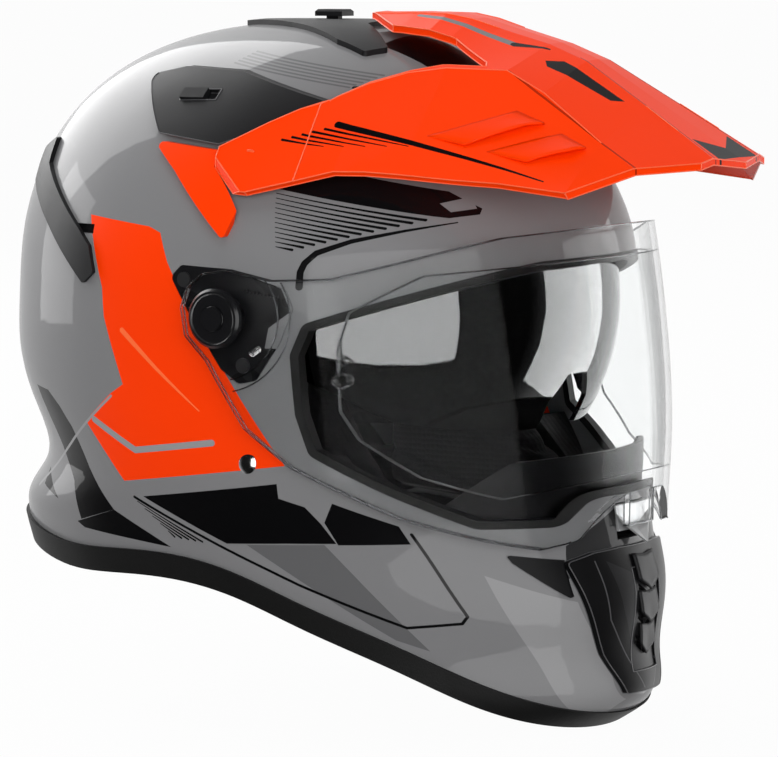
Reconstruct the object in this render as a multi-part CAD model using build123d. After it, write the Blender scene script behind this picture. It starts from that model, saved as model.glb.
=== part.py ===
from build123d import *
import os
from functools import lru_cache
from math import cos, hypot, pi, sin

# Dual sport helmet, millimetres. +X is forward, +Y the wearer's left, +Z up, as it is worn.
# The origin lies on the mid-plane, at the height of the visor pivots, in the middle of the head cavity.

# Outer shell
CENTRE_X = -5.0
FRONT_REACH = 138.0
REAR_REACH = 138.0
SHELL_HALF = 127.0
CROWN = 121.0
LOWER_DEPTH = 200.0
SHELL_WALL = 3.5
FRONT_POWER = 2.05
REAR_POWER = 2.3

# Head cavity and linings
CAVITY_FRONT = 96.0
CAVITY_REAR = 98.0
CAVITY_HALF = 77.0
CAVITY_CROWN = 82.0
LINER_THICKNESS = 6.6
FOAM_GAP = 0.4
SEAM_GAP = 0.3
CHIN_FOAM_THICKNESS = 19.0
PAD_INNER_Y = 57.0
PAD_CROWN = 5.0
PAD_CORNER = 8.0
NECK_ROLL_THICKNESS = 23.0
NECK_ROLL_TOP_DROP = 79.0
NECK_ROLL_HEIGHT = 24.0
NECK_ROLL_FRONT = 19.0
CURTAIN_THICKNESS = 1.4
GUARD_THICKNESS = 2.5
GUARD_GAP = 1.3

# Rubber rim and eye port seal
RIM_HEIGHT = 11.0
RIM_PROUD = 1.6
RIM_LIP = 2.0
RIM_WEB = 2.5
SEAL_WIDTH = 3.5
SEAL_PROUD = 0.5
SEAL_INNER_LIP = 1.0
PORT_CORNER = 5.0

# Visor and its pivots
PIVOT_AHEAD = 23.0
VISOR_LEAD = 12.0
VISOR_GAP = 2.1
VISOR_THICKNESS = 2.6
VISOR_POWER = 2.0
VISOR_CORNER = 3.0
VISOR_TAB_HALF = 11.0
VISOR_TAB_DEPTH = 92.0
VISOR_HOLE_RADIUS = 9.0
RUNNING_GAP = 0.05
BOSS_WALL = 1.95
BASE_FLANGE = 1.5
BASE_LIP = 3.5
BASE_CORNER = 3.0
KNOB_RADIUS = 12.5
KNOB_THICKNESS = 3.2
KNOB_GAP = 0.3
BUTTON_RADIUS = 4.95
BUTTON_LENGTH = 8.6
BUTTON_PROUD = 1.2
BOSS_FLOOR = 1.4
BASE_SCREW_RADIUS = 1.6
BASE_SCREW_HEAD_RADIUS = 3.2
BASE_SCREW_HEAD_PROUD = 0.6
BASE_SCREW_HEAD_SUNK = 1.5
BASE_SCREW_LENGTH = 5.0
INSERT_GAP = 0.2
INSERT_THICKNESS = 1.3
INSERT_PIN_RADIUS = 2.9
INSERT_PIN_PROUD = 0.8

# Drop-down sun visor
SUN_VISOR_REACH = 104.0
SUN_VISOR_HALF = 116.8
SUN_VISOR_THICKNESS = 2.2
SUN_VISOR_CLEARANCE = 1.0
SUN_VISOR_CORNER = 3.0
NOSE_NOTCH_HALF = 17.0
NOSE_NOTCH_TOP = 29.0
SUN_PIN_RADIUS = 3.0
SUN_PIN_END = 2.4
CLIP_RADIUS = 5.0
CLIP_THICKNESS = 0.8
CLIP_GAP = 0.4
POCKET_EAR_RADIUS = 25.0
POCKET_LOW_ANGLE = -66.0
POCKET_HIGH_ANGLE = 86.0
SUN_SLIDER_TRAVEL = 20.0
SUN_SLIDER_REAR = 15.0
SUN_SLIDER_DROP = 97.0
SLIDER_CAP_LENGTH = 15.0
SLIDER_CAP_HEIGHT = 7.0
SLIDER_CAP_THICKNESS = 2.6
SLIDER_CAP_GAP = 1.9
SLIDER_STEM_LENGTH = 6.0
SLIDER_STEM_HEIGHT = 3.4
SLIDER_SLOT_GAP = 0.3
SLIDER_STEM_DEPTH = 5.6
CABLE_RADIUS = 1.2
CABLE_CHANNEL_GAP = 0.35
CABLE_INSET = 2.2

# Peak
PEAK_OVERHANG = 64.0
PEAK_THICKNESS = 2.6
PEAK_PIVOT_AHEAD = 25.0
PEAK_PIVOT_HEIGHT = 66.0
PEAK_PIN_RADIUS = 3.0
PEAK_PIN_DEPTH = 3.0
BRACKET_PROUD = 3.0
BRACKET_CORNER = 1.5
BRACKET_GAP = 0.6

# Vents
HOUSING_PROUD = 2.2
HOUSING_CORNER = 2.0
COVER_PROUD = 3.2
COVER_CORNER = 2.5
REAR_VENT_PROUD = 2.2
REAR_VENT_CORNER = 1.2
REAR_VENT_SLOT = 16.0
VENT_TRAVEL = 6.0
TOP_SLIDER_LENGTH = 14.0
TOP_SLIDER_WIDTH = 10.0
TOP_SLIDER_HEIGHT = 3.0
TOP_SLIDER_GAP = 0.3
TOP_SLIDER_STEM = 3.6
TOP_SLIDER_STEM_LENGTH = 6.0
TOP_SLIDER_STEM_DEPTH = 4.6
SIDE_SLIDER_LENGTH = 12.0
SIDE_SLIDER_WIDTH = 6.0
SIDE_SLIDER_HEIGHT = 3.2
SIDE_SLIDER_SUNK = 1.9
SIDE_SLIDER_REAR = 16.0
SIDE_SLIDER_RISE = 91.0
CHIN_FRAME_PROUD = 2.4
CHIN_FRAME_CORNER = 1.5
CHIN_OPENING_HALF = 11.0
CHIN_OPENING_TOP = 110.0
CHIN_OPENING_BOTTOM = 155.0
CHIN_DUCT_HALF = 9.0
CHEVRON_COUNT = 3
CHEVRON_WIDTH = 4.4
CHEVRON_DROP = 5.0
GRILLE_RECESS = 0.8
GRILLE_GAP = 0.2
MESH_THICKNESS = 0.6
TAB_HALF = 12.0
TAB_TOP = 83.0
TAB_HEIGHT = 12.0
TAB_PROUD = 0.9
TAB_DEPTH = 2.6
TAB_TRAVEL = 3.0
INLAY_PROUD = 0.8

# Retention
RIVET_AHEAD = 31.0
RIVET_DROP = 61.0
RIVET_HEAD_RADIUS = 4.7
RIVET_HEAD_HEIGHT = 1.6
RIVET_SHANK_RADIUS = 2.4
STRAP_THICKNESS = 1.6
STRAP_CHANNEL_GAP = 0.2
STRAP_WIDTH = 22.0
STRAP_FLOOR_DROP = 105.2
STRAP_LEFT_END = 62.0
STRAP_RIGHT_END = 52.0
STRAP_CENTRE_AHEAD = 24.0
RING_WIRE_RADIUS = 2.0
RING_WIDTH = 24.0
LOOP_MARGIN = 1.0
RING_LOOP_WALL = 1.2
SNAP_RADIUS = 5.5
SNAP_THICKNESS = 2.2
PULL_TAB_WIDTH = 14.0
PULL_TAB_LENGTH = 15.0
PULL_TAB_THICKNESS = 1.4

# Cuts run past the part by this much
OVERRUN = 60.0
TILE = 0.5

PIVOT_X = CENTRE_X + PIVOT_AHEAD
VISOR_HALF = SHELL_HALF + VISOR_GAP + VISOR_THICKNESS
VISOR_FRONT_REACH = CENTRE_X + FRONT_REACH + VISOR_LEAD
FOAM_INSET = SHELL_WALL + FOAM_GAP
FAR_Y = SHELL_HALF + OVERRUN
FRONT_X = CENTRE_X + FRONT_REACH
BOSS_RADIUS = VISOR_HOLE_RADIUS - RUNNING_GAP
BOSS_BORE_RADIUS = BOSS_RADIUS - BOSS_WALL
NECK_RADIUS = BOSS_BORE_RADIUS - RUNNING_GAP
KNOB_INNER_Y = VISOR_HALF + KNOB_GAP
KNOB_OUTER_Y = KNOB_INNER_Y + KNOB_THICKNESS

# Rows of the shell below the pivots: depth share, then front reach, rear reach and half width as shares
# of the full ones, and the squareness of the front and rear curves.
SHELL_ROW_SHARES = [
    (0.000, 1.000, 1.000, 1.000, 2.05, 2.30),
    (0.100, 1.033, 1.000, 1.000, 2.05, 2.30),
    (0.225, 1.058, 0.935, 0.996, 2.00, 2.30),
    (0.350, 1.072, 0.877, 0.976, 1.95, 2.35),
    (0.425, 1.076, 0.938, 0.949, 1.90, 2.60),
    (0.500, 1.090, 0.928, 0.913, 1.88, 2.75),
    (0.575, 1.123, 0.891, 0.882, 1.85, 2.80),
    (0.650, 1.127, 0.862, 0.850, 1.85, 2.60),
    (0.750, 1.116, 0.819, 0.811, 1.85, 2.40),
    (0.860, 1.094, 0.775, 0.756, 1.85, 2.30),
    (1.000, 1.058, 0.746, 0.709, 1.85, 2.30),
]
CAVITY_ROW_SHARES = [
    (0.000, 1.000, 1.000, 1.000, 2.05, 2.30),
    (0.300, 0.970, 0.910, 0.970, 2.05, 2.30),
    (0.600, 0.930, 0.850, 0.930, 2.05, 2.30),
    (1.000, 0.930, 0.850, 0.930, 2.05, 2.30),
]
PAD_STAGE_SHARES = [(0, 1), (0.12, 0.35), (0.35, 0), (0.8, 0), (1, 0.35)]
CHEVRON_REACH_SHARE = 0.7
CHEVRON_START_SHARE = 0.6
RING_PITCH_SHARE = 2.4
BEND_SHARE = 0.45
DOME_HEIGHT_SHARES = [0.992, 0.97, 0.93, 0.86, 0.76, 0.63, 0.46, 0.24]
DOME_FRONT_POWER = 2.03
DOME_REAR_POWER = 2.7
RING_POINTS = 28

# Rows of the visor: height share of the crown, front reach share, half width share.
VISOR_ROW_SHARES = [
    (0.500, 0.910, 0.964),
    (0.331, 0.952, 0.986),
    (0.165, 0.979, 0.996),
    (0.000, 1.000, 1.000),
    (-0.165, 1.017, 1.000),
    (-0.372, 1.031, 0.993),
    (-0.521, 1.034, 0.976),
    (-0.694, 1.031, 0.945),
    (-0.818, 1.031, 0.913),
    (-0.926, 1.031, 0.888),
]

# Side outlines: shares of the front reach from the centre, and of the crown height.
PORT_SHARES = [
    (0.370, -0.124), (0.406, -0.017), (0.514, 0.025), (0.710, 0.099), (0.928, 0.182), (1.304, 0.215),
    (1.304, -0.653), (1.045, -0.653), (1.000, -0.744), (0.826, -0.736), (0.616, -0.603), (0.420, -0.471),
    (0.384, -0.331),
]
VISOR_SHARES = [
    (0.036, 0.033), (0.058, 0.099), (0.109, 0.149), (0.196, 0.165), (0.326, 0.132), (0.500, 0.140),
    (0.681, 0.198), (0.891, 0.273), (1.051, 0.298), (1.304, 0.298), (1.304, -0.645), (1.101, -0.645),
    (1.043, -0.793), (0.986, -0.810), (0.870, -0.769), (0.674, -0.686), (0.384, -0.512), (0.246, -0.380),
    (0.123, -0.149), (0.051, -0.066),
]
INSERT_SHARES = [
    (0.514, -0.099), (0.543, 0.025), (0.725, 0.149), (1.304, 0.215), (1.304, -0.529), (0.906, -0.628),
    (0.725, -0.545), (0.572, -0.413), (0.522, -0.314),
]
SUN_VISOR_SHARES = [
    (0.094, -0.083), (0.203, -0.116), (0.471, -0.281), (0.580, -0.372), (0.797, -0.430), (1.123, -0.430),
    (1.123, 0.380), (0.761, 0.430), (0.471, 0.165), (0.167, 0.099), (0.094, 0.066),
]
BASE_SHARES = [
    (-0.029, 0.132), (0.007, 0.174), (0.181, 0.165), (0.355, 0.099), (0.377, 0.033), (0.341, -0.083),
    (0.268, -0.215), (0.210, -0.231), (0.152, -0.182),
]
BASE_SCREW_SHARES = [(0.022, 0.124), (0.225, -0.165)]
EPS_CROWN_SHARES = [
    (-1.123, 1.116), (1.304, 1.116), (1.304, 0.281), (0.471, 0.099), (0.312, 0.000), (0.283, -0.165),
    (0.254, -0.529), (-1.123, -0.628),
]
EPS_CHIN_SHARES = [
    (0.725, -0.818), (0.833, -0.860), (1.051, -0.876), (1.304, -0.826), (1.304, -1.231), (0.833, -1.050),
    (0.725, -1.004),
]
PAD_SHARES = [
    (-0.065, -0.165), (0.283, -0.215), (0.442, -0.496), (0.558, -0.645), (0.645, -0.793), (0.471, -0.876),
    (0.283, -0.826), (-0.080, -0.777),
]
CORE_SHARES = [
    (-0.094, -0.570), (0.261, -0.545), (0.326, -0.512), (0.413, -0.496), (0.543, -0.661), (0.703, -0.810),
    (0.514, -0.893), (0.283, -0.831), (-0.109, -0.793),
]
LINER_SHARES = [
    (-1.123, 1.116), (0.906, 1.116), (0.906, 0.314), (0.471, 0.132), (0.297, 0.033), (0.254, -0.132),
    (-0.094, -0.116), (-0.123, -0.512), (-1.123, -0.579),
]
CURTAIN_SHARES = [(0.514, -1.074), (1.304, -1.471), (1.304, -1.281), (0.558, -0.975)]
GUARD_SHARES = [(0.732, -0.785), (0.732, -0.661), (0.891, -0.512), (1.304, -0.479), (1.304, -0.802)]
RIM_SHARES = [
    (-1.159, -0.876), (-0.761, -0.893), (-0.529, -0.942), (-0.254, -0.942), (0.007, -0.959), (0.123, -0.992),
    (0.319, -1.091), (0.594, -1.240), (0.826, -1.388), (1.014, -1.488), (1.341, -1.620),
]
INLAY_SHARES = [(0.891, -0.831), (1.007, -0.860), (1.036, -1.000), (0.906, -0.860)]
REAR_VENT_SHARES = [
    (-0.775, 0.545), (-0.696, 0.587), (-0.674, 0.496), (-0.413, 0.281), (-0.355, 0.223), (-0.326, 0.132),
    (-0.370, 0.091), (-0.572, 0.281), (-0.746, 0.430),
]
COVER_SHARES = [
    (-0.348, 0.818), (-0.225, 0.847), (0.000, 0.835), (0.312, 0.740), (0.377, 0.711), (0.058, 0.587),
    (-0.181, 0.620),
]
BRACKET_SHARES = [
    (-0.188, 0.595), (0.065, 0.566), (0.225, 0.450), (0.196, 0.413), (0.152, 0.264), (-0.072, 0.496),
]
STRAP_SHARES = [(0.145, -0.463), (0.304, -0.463), (0.254, -0.868), (0.094, -0.868)]

# Outlines seen from above: share of the front reach, share of the half width.
HOUSING_SHARES = [
    (-0.312, 0.000), (-0.297, 0.063), (-0.051, 0.189), (0.196, 0.331), (0.312, 0.362), (0.355, 0.283),
    (0.254, 0.173), (0.181, 0.102), (0.181, 0.000),
]

# Outline of the chin vent seen from the front: shares of the half width and of the crown height.
CHIN_FRAME_SHARES = [(0.000, -0.835), (0.118, -0.835), (0.236, -0.843), (0.339, -0.868), (0.315, -0.935),
                     (0.205, -1.207), (0.118, -1.355), (0.000, -1.372)]

# Peak stations: share of the front reach, share of the overhang, height share of the ridge, then half width
# and height shares of the ridge panel, of the shoulder and of the lower edge.
PEAK_STATION_SHARES = [
    (0.036, 0.000, 1.035, 0.110, 1.030, 0.787, 0.694, 0.949, 0.446),
    (0.210, 0.000, 1.039, 0.110, 1.034, 0.780, 0.682, 0.941, 0.430),
    (0.362, 0.000, 1.041, 0.110, 1.036, 0.728, 0.731, 0.906, 0.471),
    (0.471, 0.000, 1.037, 0.102, 1.033, 0.622, 0.798, 0.850, 0.504),
    (0.558, 0.000, 1.019, 0.094, 1.015, 0.528, 0.835, 0.811, 0.504),
    (0.652, 0.000, 0.988, 0.087, 0.983, 0.449, 0.851, 0.772, 0.496),
    (0.826, 0.000, 0.934, 0.083, 0.929, 0.378, 0.843, 0.724, 0.479),
    (0.957, 0.000, 0.876, 0.087, 0.871, 0.386, 0.769, 0.697, 0.471),
    (1.000, 0.391, 0.721, 0.126, 0.719, 0.441, 0.603, 0.693, 0.446),
    (1.000, 0.656, 0.636, 0.150, 0.634, 0.472, 0.521, 0.685, 0.388),
    (1.000, 1.047, 0.512, 0.185, 0.509, 0.504, 0.397, 0.677, 0.281),
]
PEAK_OUTLINE_SHARES = [
    (0.196, 0.000, 0.000), (0.196, 0.000, 0.094), (0.326, 0.000, 0.197), (0.580, 0.000, 0.244),
    (0.739, 0.000, 0.346), (0.754, 0.000, 0.378), (0.630, 0.000, 0.433), (0.384, 0.000, 0.709),
    (0.072, 0.000, 0.858), (0.072, 0.000, 0.882), (0.232, 0.000, 0.961), (0.486, 0.000, 1.000),
    (1.000, 0.391, 1.000), (1.000, 0.391, 0.693), (1.000, 0.656, 0.472), (1.000, 0.906, 0.236),
    (1.000, 1.000, 0.000),
]
CABLE_SHARES = [(-0.060, -0.716), (-0.072, -0.570), (-0.050, -0.430), (0.000, -0.310), (0.068, -0.215)]


def ring_wire(centre_x, front, rear, half, front_power, rear_power, height):
    """The section curve as a wire, its seam at the back."""
    points = []
    for step in range(RING_POINTS):
        angle = 2 * pi * step / RING_POINTS + pi
        forward = cos(angle)
        sideways = sin(angle)
        power = front_power if forward > 0 else rear_power
        reach = front if forward > 0 else -rear
        points.append((centre_x + reach * abs(forward) ** (2 / power),
                       half * (1 if sideways > 0 else -1) * abs(sideways) ** (2 / power), height))
    return Wire([Edge.make_spline([Vector(*point) for point in points], periodic=True,
                                  parameters=[step / RING_POINTS for step in range(RING_POINTS + 1)])])


def stacked_body(front, rear, half, crown, row_shares, depth, inset):
    """A solid lofted through level sections: a dome above the pivots and tabled rows below them."""
    wires = []
    for share in DOME_HEIGHT_SHARES:
        front_share = (1 - share ** DOME_FRONT_POWER) ** (1 / DOME_FRONT_POWER)
        rear_share = (1 - share ** DOME_REAR_POWER) ** (1 / DOME_REAR_POWER)
        side_share = (1 - share ** 2) ** 0.5
        wires.append(ring_wire(CENTRE_X, (front - inset) * front_share, (rear - inset) * rear_share,
                               (half - inset) * side_share, FRONT_POWER, REAR_POWER, share * (crown - inset)))
    for drop, front_share, rear_share, half_share, front_power, rear_power in row_shares:
        wires.append(ring_wire(CENTRE_X, front * front_share - inset, rear * rear_share - inset,
                               half * half_share - inset, front_power, rear_power, -drop * depth))
    return Solid.make_loft(wires)


@lru_cache(maxsize=None)
def shell_body(inset):
    """The space inside the shell's surface, moved inwards by the inset."""
    return stacked_body(FRONT_REACH, REAR_REACH, SHELL_HALF, CROWN, SHELL_ROW_SHARES, LOWER_DEPTH, inset)


@lru_cache(maxsize=None)
def cavity_body(inset):
    """The space for the head, moved inwards by the inset."""
    return stacked_body(CAVITY_FRONT, CAVITY_REAR, CAVITY_HALF, CAVITY_CROWN, CAVITY_ROW_SHARES,
                        LOWER_DEPTH, inset)


def visor_body(inset):
    """The space inside the visor's surface, moved inwards by the inset."""
    wires = []
    for height, front_share, half_share in VISOR_ROW_SHARES:
        reach = VISOR_FRONT_REACH * front_share - inset
        wires.append(ring_wire(0, reach, reach, VISOR_HALF * half_share - inset,
                               VISOR_POWER, VISOR_POWER, height * CROWN))
    return Solid.make_loft(wires)


def row_value(height, column):
    """One tabled share of the shell at a height below the pivots, between its rows."""
    drop = -height / LOWER_DEPTH
    for upper, lower in zip(SHELL_ROW_SHARES[:-1], SHELL_ROW_SHARES[1:]):
        if upper[0] <= drop <= lower[0]:
            blend = (drop - upper[0]) / (lower[0] - upper[0])
            return upper[column] + blend * (lower[column] - upper[column])
    return SHELL_ROW_SHARES[0][column]


def shell_y(x, height, inset):
    """Half width of the shell's surface, moved inwards by the inset, at a place on its side."""
    ahead = x > CENTRE_X
    if height > 0:
        level = height / (CROWN - inset)
        power = DOME_FRONT_POWER if ahead else DOME_REAR_POWER
        reach = ((FRONT_REACH if ahead else REAR_REACH) - inset) * (1 - level ** power) ** (1 / power)
        half = (SHELL_HALF - inset) * (1 - level ** 2) ** 0.5
        squareness = FRONT_POWER if ahead else REAR_POWER
    else:
        reach = (FRONT_REACH if ahead else REAR_REACH) * row_value(height, 1 if ahead else 2) - inset
        half = SHELL_HALF * row_value(height, 3) - inset
        squareness = row_value(height, 4 if ahead else 5)
    return half * (1 - (abs(x - CENTRE_X) / reach) ** squareness) ** (1 / squareness)


def side_points(shares):
    """Points of a side outline, from its shares."""
    return [(CENTRE_X + u * FRONT_REACH, w * CROWN) for u, w in shares]


def side_plane(y):
    """A plane square to the width, whose own axes run forward and up."""
    return Plane(origin=(0, y, 0), x_dir=(1, 0, 0), z_dir=(0, -1, 0))


def side_prism(points, corner, y_low, y_high, grow=0):
    """A side outline with rounded corners, pushed through the part from one width to another."""
    face = make_face(FilletPolyline(*points, radius=corner, close=True))
    if grow:
        face = offset(face, amount=grow, kind=Kind.INTERSECTION)
    return extrude(side_plane(y_high) * face, amount=y_high - y_low, dir=(0, -1, 0))


def across_prism(shares, corner, grow=0):
    """A side outline that cuts the whole width."""
    return side_prism(side_points(shares), corner, -FAR_Y, FAR_Y, grow)


def left_prism(shares, corner, y_low=0, grow=0):
    """A side outline that cuts the wearer's left half from a width outwards."""
    return side_prism(side_points(shares), corner, y_low, FAR_Y, grow)


def front_prism(points, corner, x_low, x_high):
    """An outline seen from the front, pushed from one length to another."""
    plane = Plane(origin=(x_low, 0, 0), x_dir=(0, 1, 0), z_dir=(1, 0, 0))
    face = make_face(FilletPolyline(*points, radius=corner, close=True))
    return extrude(plane * face, amount=x_high - x_low, dir=(1, 0, 0))


def layer(prism, outer_inset, inner_inset):
    """The part of a prism that lies between two depths below the shell's surface."""
    return (prism & shell_body(outer_inset)) - shell_body(inner_inset)


def rod(x, z, radius, y_low, y_high):
    """A round rod across the helmet."""
    return extrude(side_plane(y_high) * Pos(x, z) * Circle(radius), amount=y_high - y_low, dir=(0, -1, 0))


def block(x_low, x_high, y_low, y_high, z_low, z_high):
    """A box between two corners."""
    return Pos(x_low, y_low, z_low) * Box(x_high - x_low, y_high - y_low, z_high - z_low,
                                          align=(Align.MIN, Align.MIN, Align.MIN))


def rim_band(bottom_rise, top_rise):
    """The band along the lower edge between two heights above it."""
    points = side_points(RIM_SHARES)
    low = Spline(*[(x, z + bottom_rise) for x, z in points])
    high = Spline(*[(x, z + top_rise) for x, z in points])
    ends = [Line(low @ 0, high @ 0), Line(low @ 1, high @ 1)]
    face = make_face(Curve() + [low, high] + ends)
    return extrude(side_plane(FAR_Y) * face, amount=2 * FAR_Y, dir=(0, -1, 0))


def both_sides(left):
    """A piece on the wearer's left and its mirror image."""
    return left, mirror(left, about=Plane.XZ)


def pair(left):
    """Two like pieces, left and right, in one group."""
    return Compound(children=[Solid(item.wrapped) for side in both_sides(left) for item in side.solids()])


def visor_plate():
    """The clear visor: a curved sheet with a finger tab, and a round hole at each pivot."""
    blank = across_prism(VISOR_SHARES, VISOR_CORNER)
    tab_top = VISOR_SHARES[11][1] * CROWN
    blank += block(FRONT_X, FRONT_X + OVERRUN, -VISOR_TAB_HALF, VISOR_TAB_HALF, -VISOR_TAB_DEPTH, tab_top)
    plate = (blank & visor_body(0)) - visor_body(VISOR_THICKNESS)
    plate &= block(0, FRONT_X + OVERRUN, -FAR_Y, FAR_Y, -FAR_Y, FAR_Y)
    return plate - rod(PIVOT_X, 0, VISOR_HOLE_RADIUS, -FAR_Y, FAR_Y)


def insert_places():
    """Where the two pins of the anti-fog insert stand, in side view."""
    points = side_points(INSERT_SHARES)
    return points[0][0] + INSERT_PIN_RADIUS, (points[0][1] + points[-1][1]) / 2


def fog_insert():
    """The anti-fog lens inside the visor."""
    blank = across_prism(INSERT_SHARES, VISOR_CORNER)
    outer = VISOR_THICKNESS + INSERT_GAP
    sheet = (blank & visor_body(outer)) - visor_body(outer + INSERT_THICKNESS)
    x, z = insert_places()
    return sheet - rod(x, z, INSERT_PIN_RADIUS, -FAR_Y, FAR_Y)


def insert_pins():
    """The two eccentric pins that hold the insert, through holes in the visor."""
    x, z = insert_places()
    depth = VISOR_THICKNESS + INSERT_GAP + INSERT_THICKNESS
    left = (rod(x, z, INSERT_PIN_RADIUS, 0, FAR_Y) & visor_body(-INSERT_PIN_PROUD)) - visor_body(depth)
    return pair(left)


def sun_visor_shape(inset):
    """The space inside the sun visor's surface, which turns about the pivot line."""
    reach = SUN_VISOR_REACH - inset
    half = SUN_VISOR_HALF - inset
    arc = EllipticalCenterArc((0, 0), half, reach, 0, arc_size=180)
    face = make_face(Curve() + [arc, Line((-half, 0), (half, 0))])
    plane = Plane(origin=(PIVOT_X, 0, 0), x_dir=(0, 1, 0), z_dir=(1, 0, 0))
    return revolve(plane * face, Axis((PIVOT_X, 0, 0), (0, 1, 0)), 360)


def sun_visor_lens():
    """The smoked visor, lowered: lens, side arms and pivot eyes in one sheet, with a notch for the nose."""
    blank = across_prism(SUN_VISOR_SHARES, SUN_VISOR_CORNER)
    sheet = (blank & sun_visor_shape(0)) - sun_visor_shape(SUN_VISOR_THICKNESS)
    low = SUN_VISOR_SHARES[4][1] * CROWN
    notch = [(-NOSE_NOTCH_HALF, 2 * low), (-NOSE_NOTCH_HALF, (low - NOSE_NOTCH_TOP) / 2),
             (-NOSE_NOTCH_HALF / 2, -NOSE_NOTCH_TOP), (NOSE_NOTCH_HALF / 2, -NOSE_NOTCH_TOP),
             (NOSE_NOTCH_HALF, (low - NOSE_NOTCH_TOP) / 2), (NOSE_NOTCH_HALF, 2 * low)]
    sheet -= front_prism(notch, SUN_VISOR_CORNER, PIVOT_X, FRONT_X + OVERRUN)
    return sheet - rod(PIVOT_X, 0, SUN_PIN_RADIUS + RUNNING_GAP, -FAR_Y, FAR_Y)


def sun_visor_pocket():
    """The room that the sun visor sweeps, from its inner face outwards."""
    reach = SUN_VISOR_REACH + OVERRUN
    low, high = POCKET_LOW_ANGLE * pi / 180, POCKET_HIGH_ANGLE * pi / 180
    sector = Polyline((PIVOT_X, 0), (PIVOT_X + reach * cos(low), reach * sin(low)),
                      (PIVOT_X + 1.5 * reach, 0), (PIVOT_X + reach, reach),
                      (PIVOT_X + reach * cos(high), reach * sin(high)), close=True)
    face = make_face(sector) + Pos(PIVOT_X, 0) * Circle(POCKET_EAR_RADIUS)
    room = extrude(side_plane(FAR_Y) * face, amount=2 * FAR_Y, dir=(0, -1, 0))
    room -= sun_visor_shape(SUN_VISOR_THICKNESS + SUN_VISOR_CLEARANCE)
    end = sun_pin_end() - SUN_VISOR_CLEARANCE
    clip_room = rod(PIVOT_X, 0, CLIP_RADIUS + SUN_VISOR_CLEARANCE, end, FAR_Y)
    return room + clip_room + mirror(clip_room, about=Plane.XZ)


def sun_pin_end():
    """How far from the mid-plane the sun visor's pivot pins end."""
    return SUN_VISOR_HALF - SUN_VISOR_THICKNESS - SUN_PIN_END


def strap_channel(gap):
    """Room for the left chin strap between shell and foam."""
    return layer(left_prism(STRAP_SHARES, TILE, 0, gap), SHELL_WALL, FOAM_INSET + STRAP_THICKNESS + gap)


def cable_route():
    """Places along the sun visor's cable, under the shell's left side."""
    inset = FOAM_INSET + CABLE_INSET
    return [(x, shell_y(x, z, inset), z) for x, z in side_points(CABLE_SHARES)]


def cable_tube(radius):
    """A round tube along the cable's route, with each bend as wide as its runs allow."""
    points = [Vector(*place) for place in cable_route()]
    radii = []
    for before, here, after in zip(points[:-2], points[1:-1], points[2:]):
        turn = (here - before).get_angle(after - here) * pi / 180
        run = min((here - before).length, (after - here).length)
        radii.append(BEND_SHARE * run * cos(turn / 2) / sin(turn / 2))
    path = FilletPolyline(*points, radius=radii)
    profile = Plane(origin=path @ 0, z_dir=path % 0) * Circle(radius)
    return sweep(profile, path=path)


def sun_slider_place():
    """Rest position of the sun visor's slider on the left side."""
    return CENTRE_X - SUN_SLIDER_REAR, -SUN_SLIDER_DROP


def sun_slider_slot(gap, depth):
    """The slot that the slider's stem runs in, cut inwards to a depth."""
    x, z = sun_slider_place()
    outer = shell_y(x, z, 0)
    return block(x - SLIDER_STEM_LENGTH / 2 - gap, x + SUN_SLIDER_TRAVEL + SLIDER_STEM_LENGTH / 2 + gap,
                 outer - depth, FAR_Y, z - SLIDER_STEM_HEIGHT / 2 - gap, z + SLIDER_STEM_HEIGHT / 2 + gap)


def sun_slider_knob():
    """The sun visor's slider: a ribbed cap outside and a stem through the slot."""
    x, z = sun_slider_place()
    outer = shell_y(x, z, 0)
    face = outer + SLIDER_CAP_GAP
    cap = block(x - SLIDER_CAP_LENGTH / 2, x + SLIDER_CAP_LENGTH / 2, face, face + SLIDER_CAP_THICKNESS,
                z - SLIDER_CAP_HEIGHT / 2, z + SLIDER_CAP_HEIGHT / 2)
    stem = block(x - SLIDER_STEM_LENGTH / 2, x + SLIDER_STEM_LENGTH / 2, outer - SLIDER_STEM_DEPTH, face,
                 z - SLIDER_STEM_HEIGHT / 2, z + SLIDER_STEM_HEIGHT / 2)
    return cap + stem


def peak_pin(radius, depth):
    """A pivot pin of the peak on the left, from the wing inwards past the shell."""
    x, z = CENTRE_X + PEAK_PIVOT_AHEAD, PEAK_PIVOT_HEIGHT
    inner = shell_y(x, z, SHELL_WALL)
    return rod(x, z, radius, inner - depth, SHELL_HALF * wing_half_share() - PEAK_THICKNESS / 2)


def wing_half_share():
    """Half width share of the wing's face at the height of its pivot pin."""
    row = PEAK_STATION_SHARES[1]
    blend = (row[6] - PEAK_PIVOT_HEIGHT / CROWN) / (row[6] - row[8])
    return row[5] + blend * (row[7] - row[5])


def inner_line(points, depth):
    """A line of points moved inwards by a depth, square to its stretches."""
    moved = []
    for index, (y, z) in enumerate(points):
        normals = []
        for first, last in ((index - 1, index), (index, index + 1)):
            if first >= 0 and last < len(points):
                dy, dz = points[last][0] - points[first][0], points[last][1] - points[first][1]
                size = hypot(dy, dz)
                normals.append((dz / size, -dy / size))
        ny = sum(n[0] for n in normals) / len(normals)
        nz = sum(n[1] for n in normals) / len(normals)
        scale = depth / (ny * ny + nz * nz)
        moved.append((y + ny * scale, z + nz * scale))
    return moved


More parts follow.
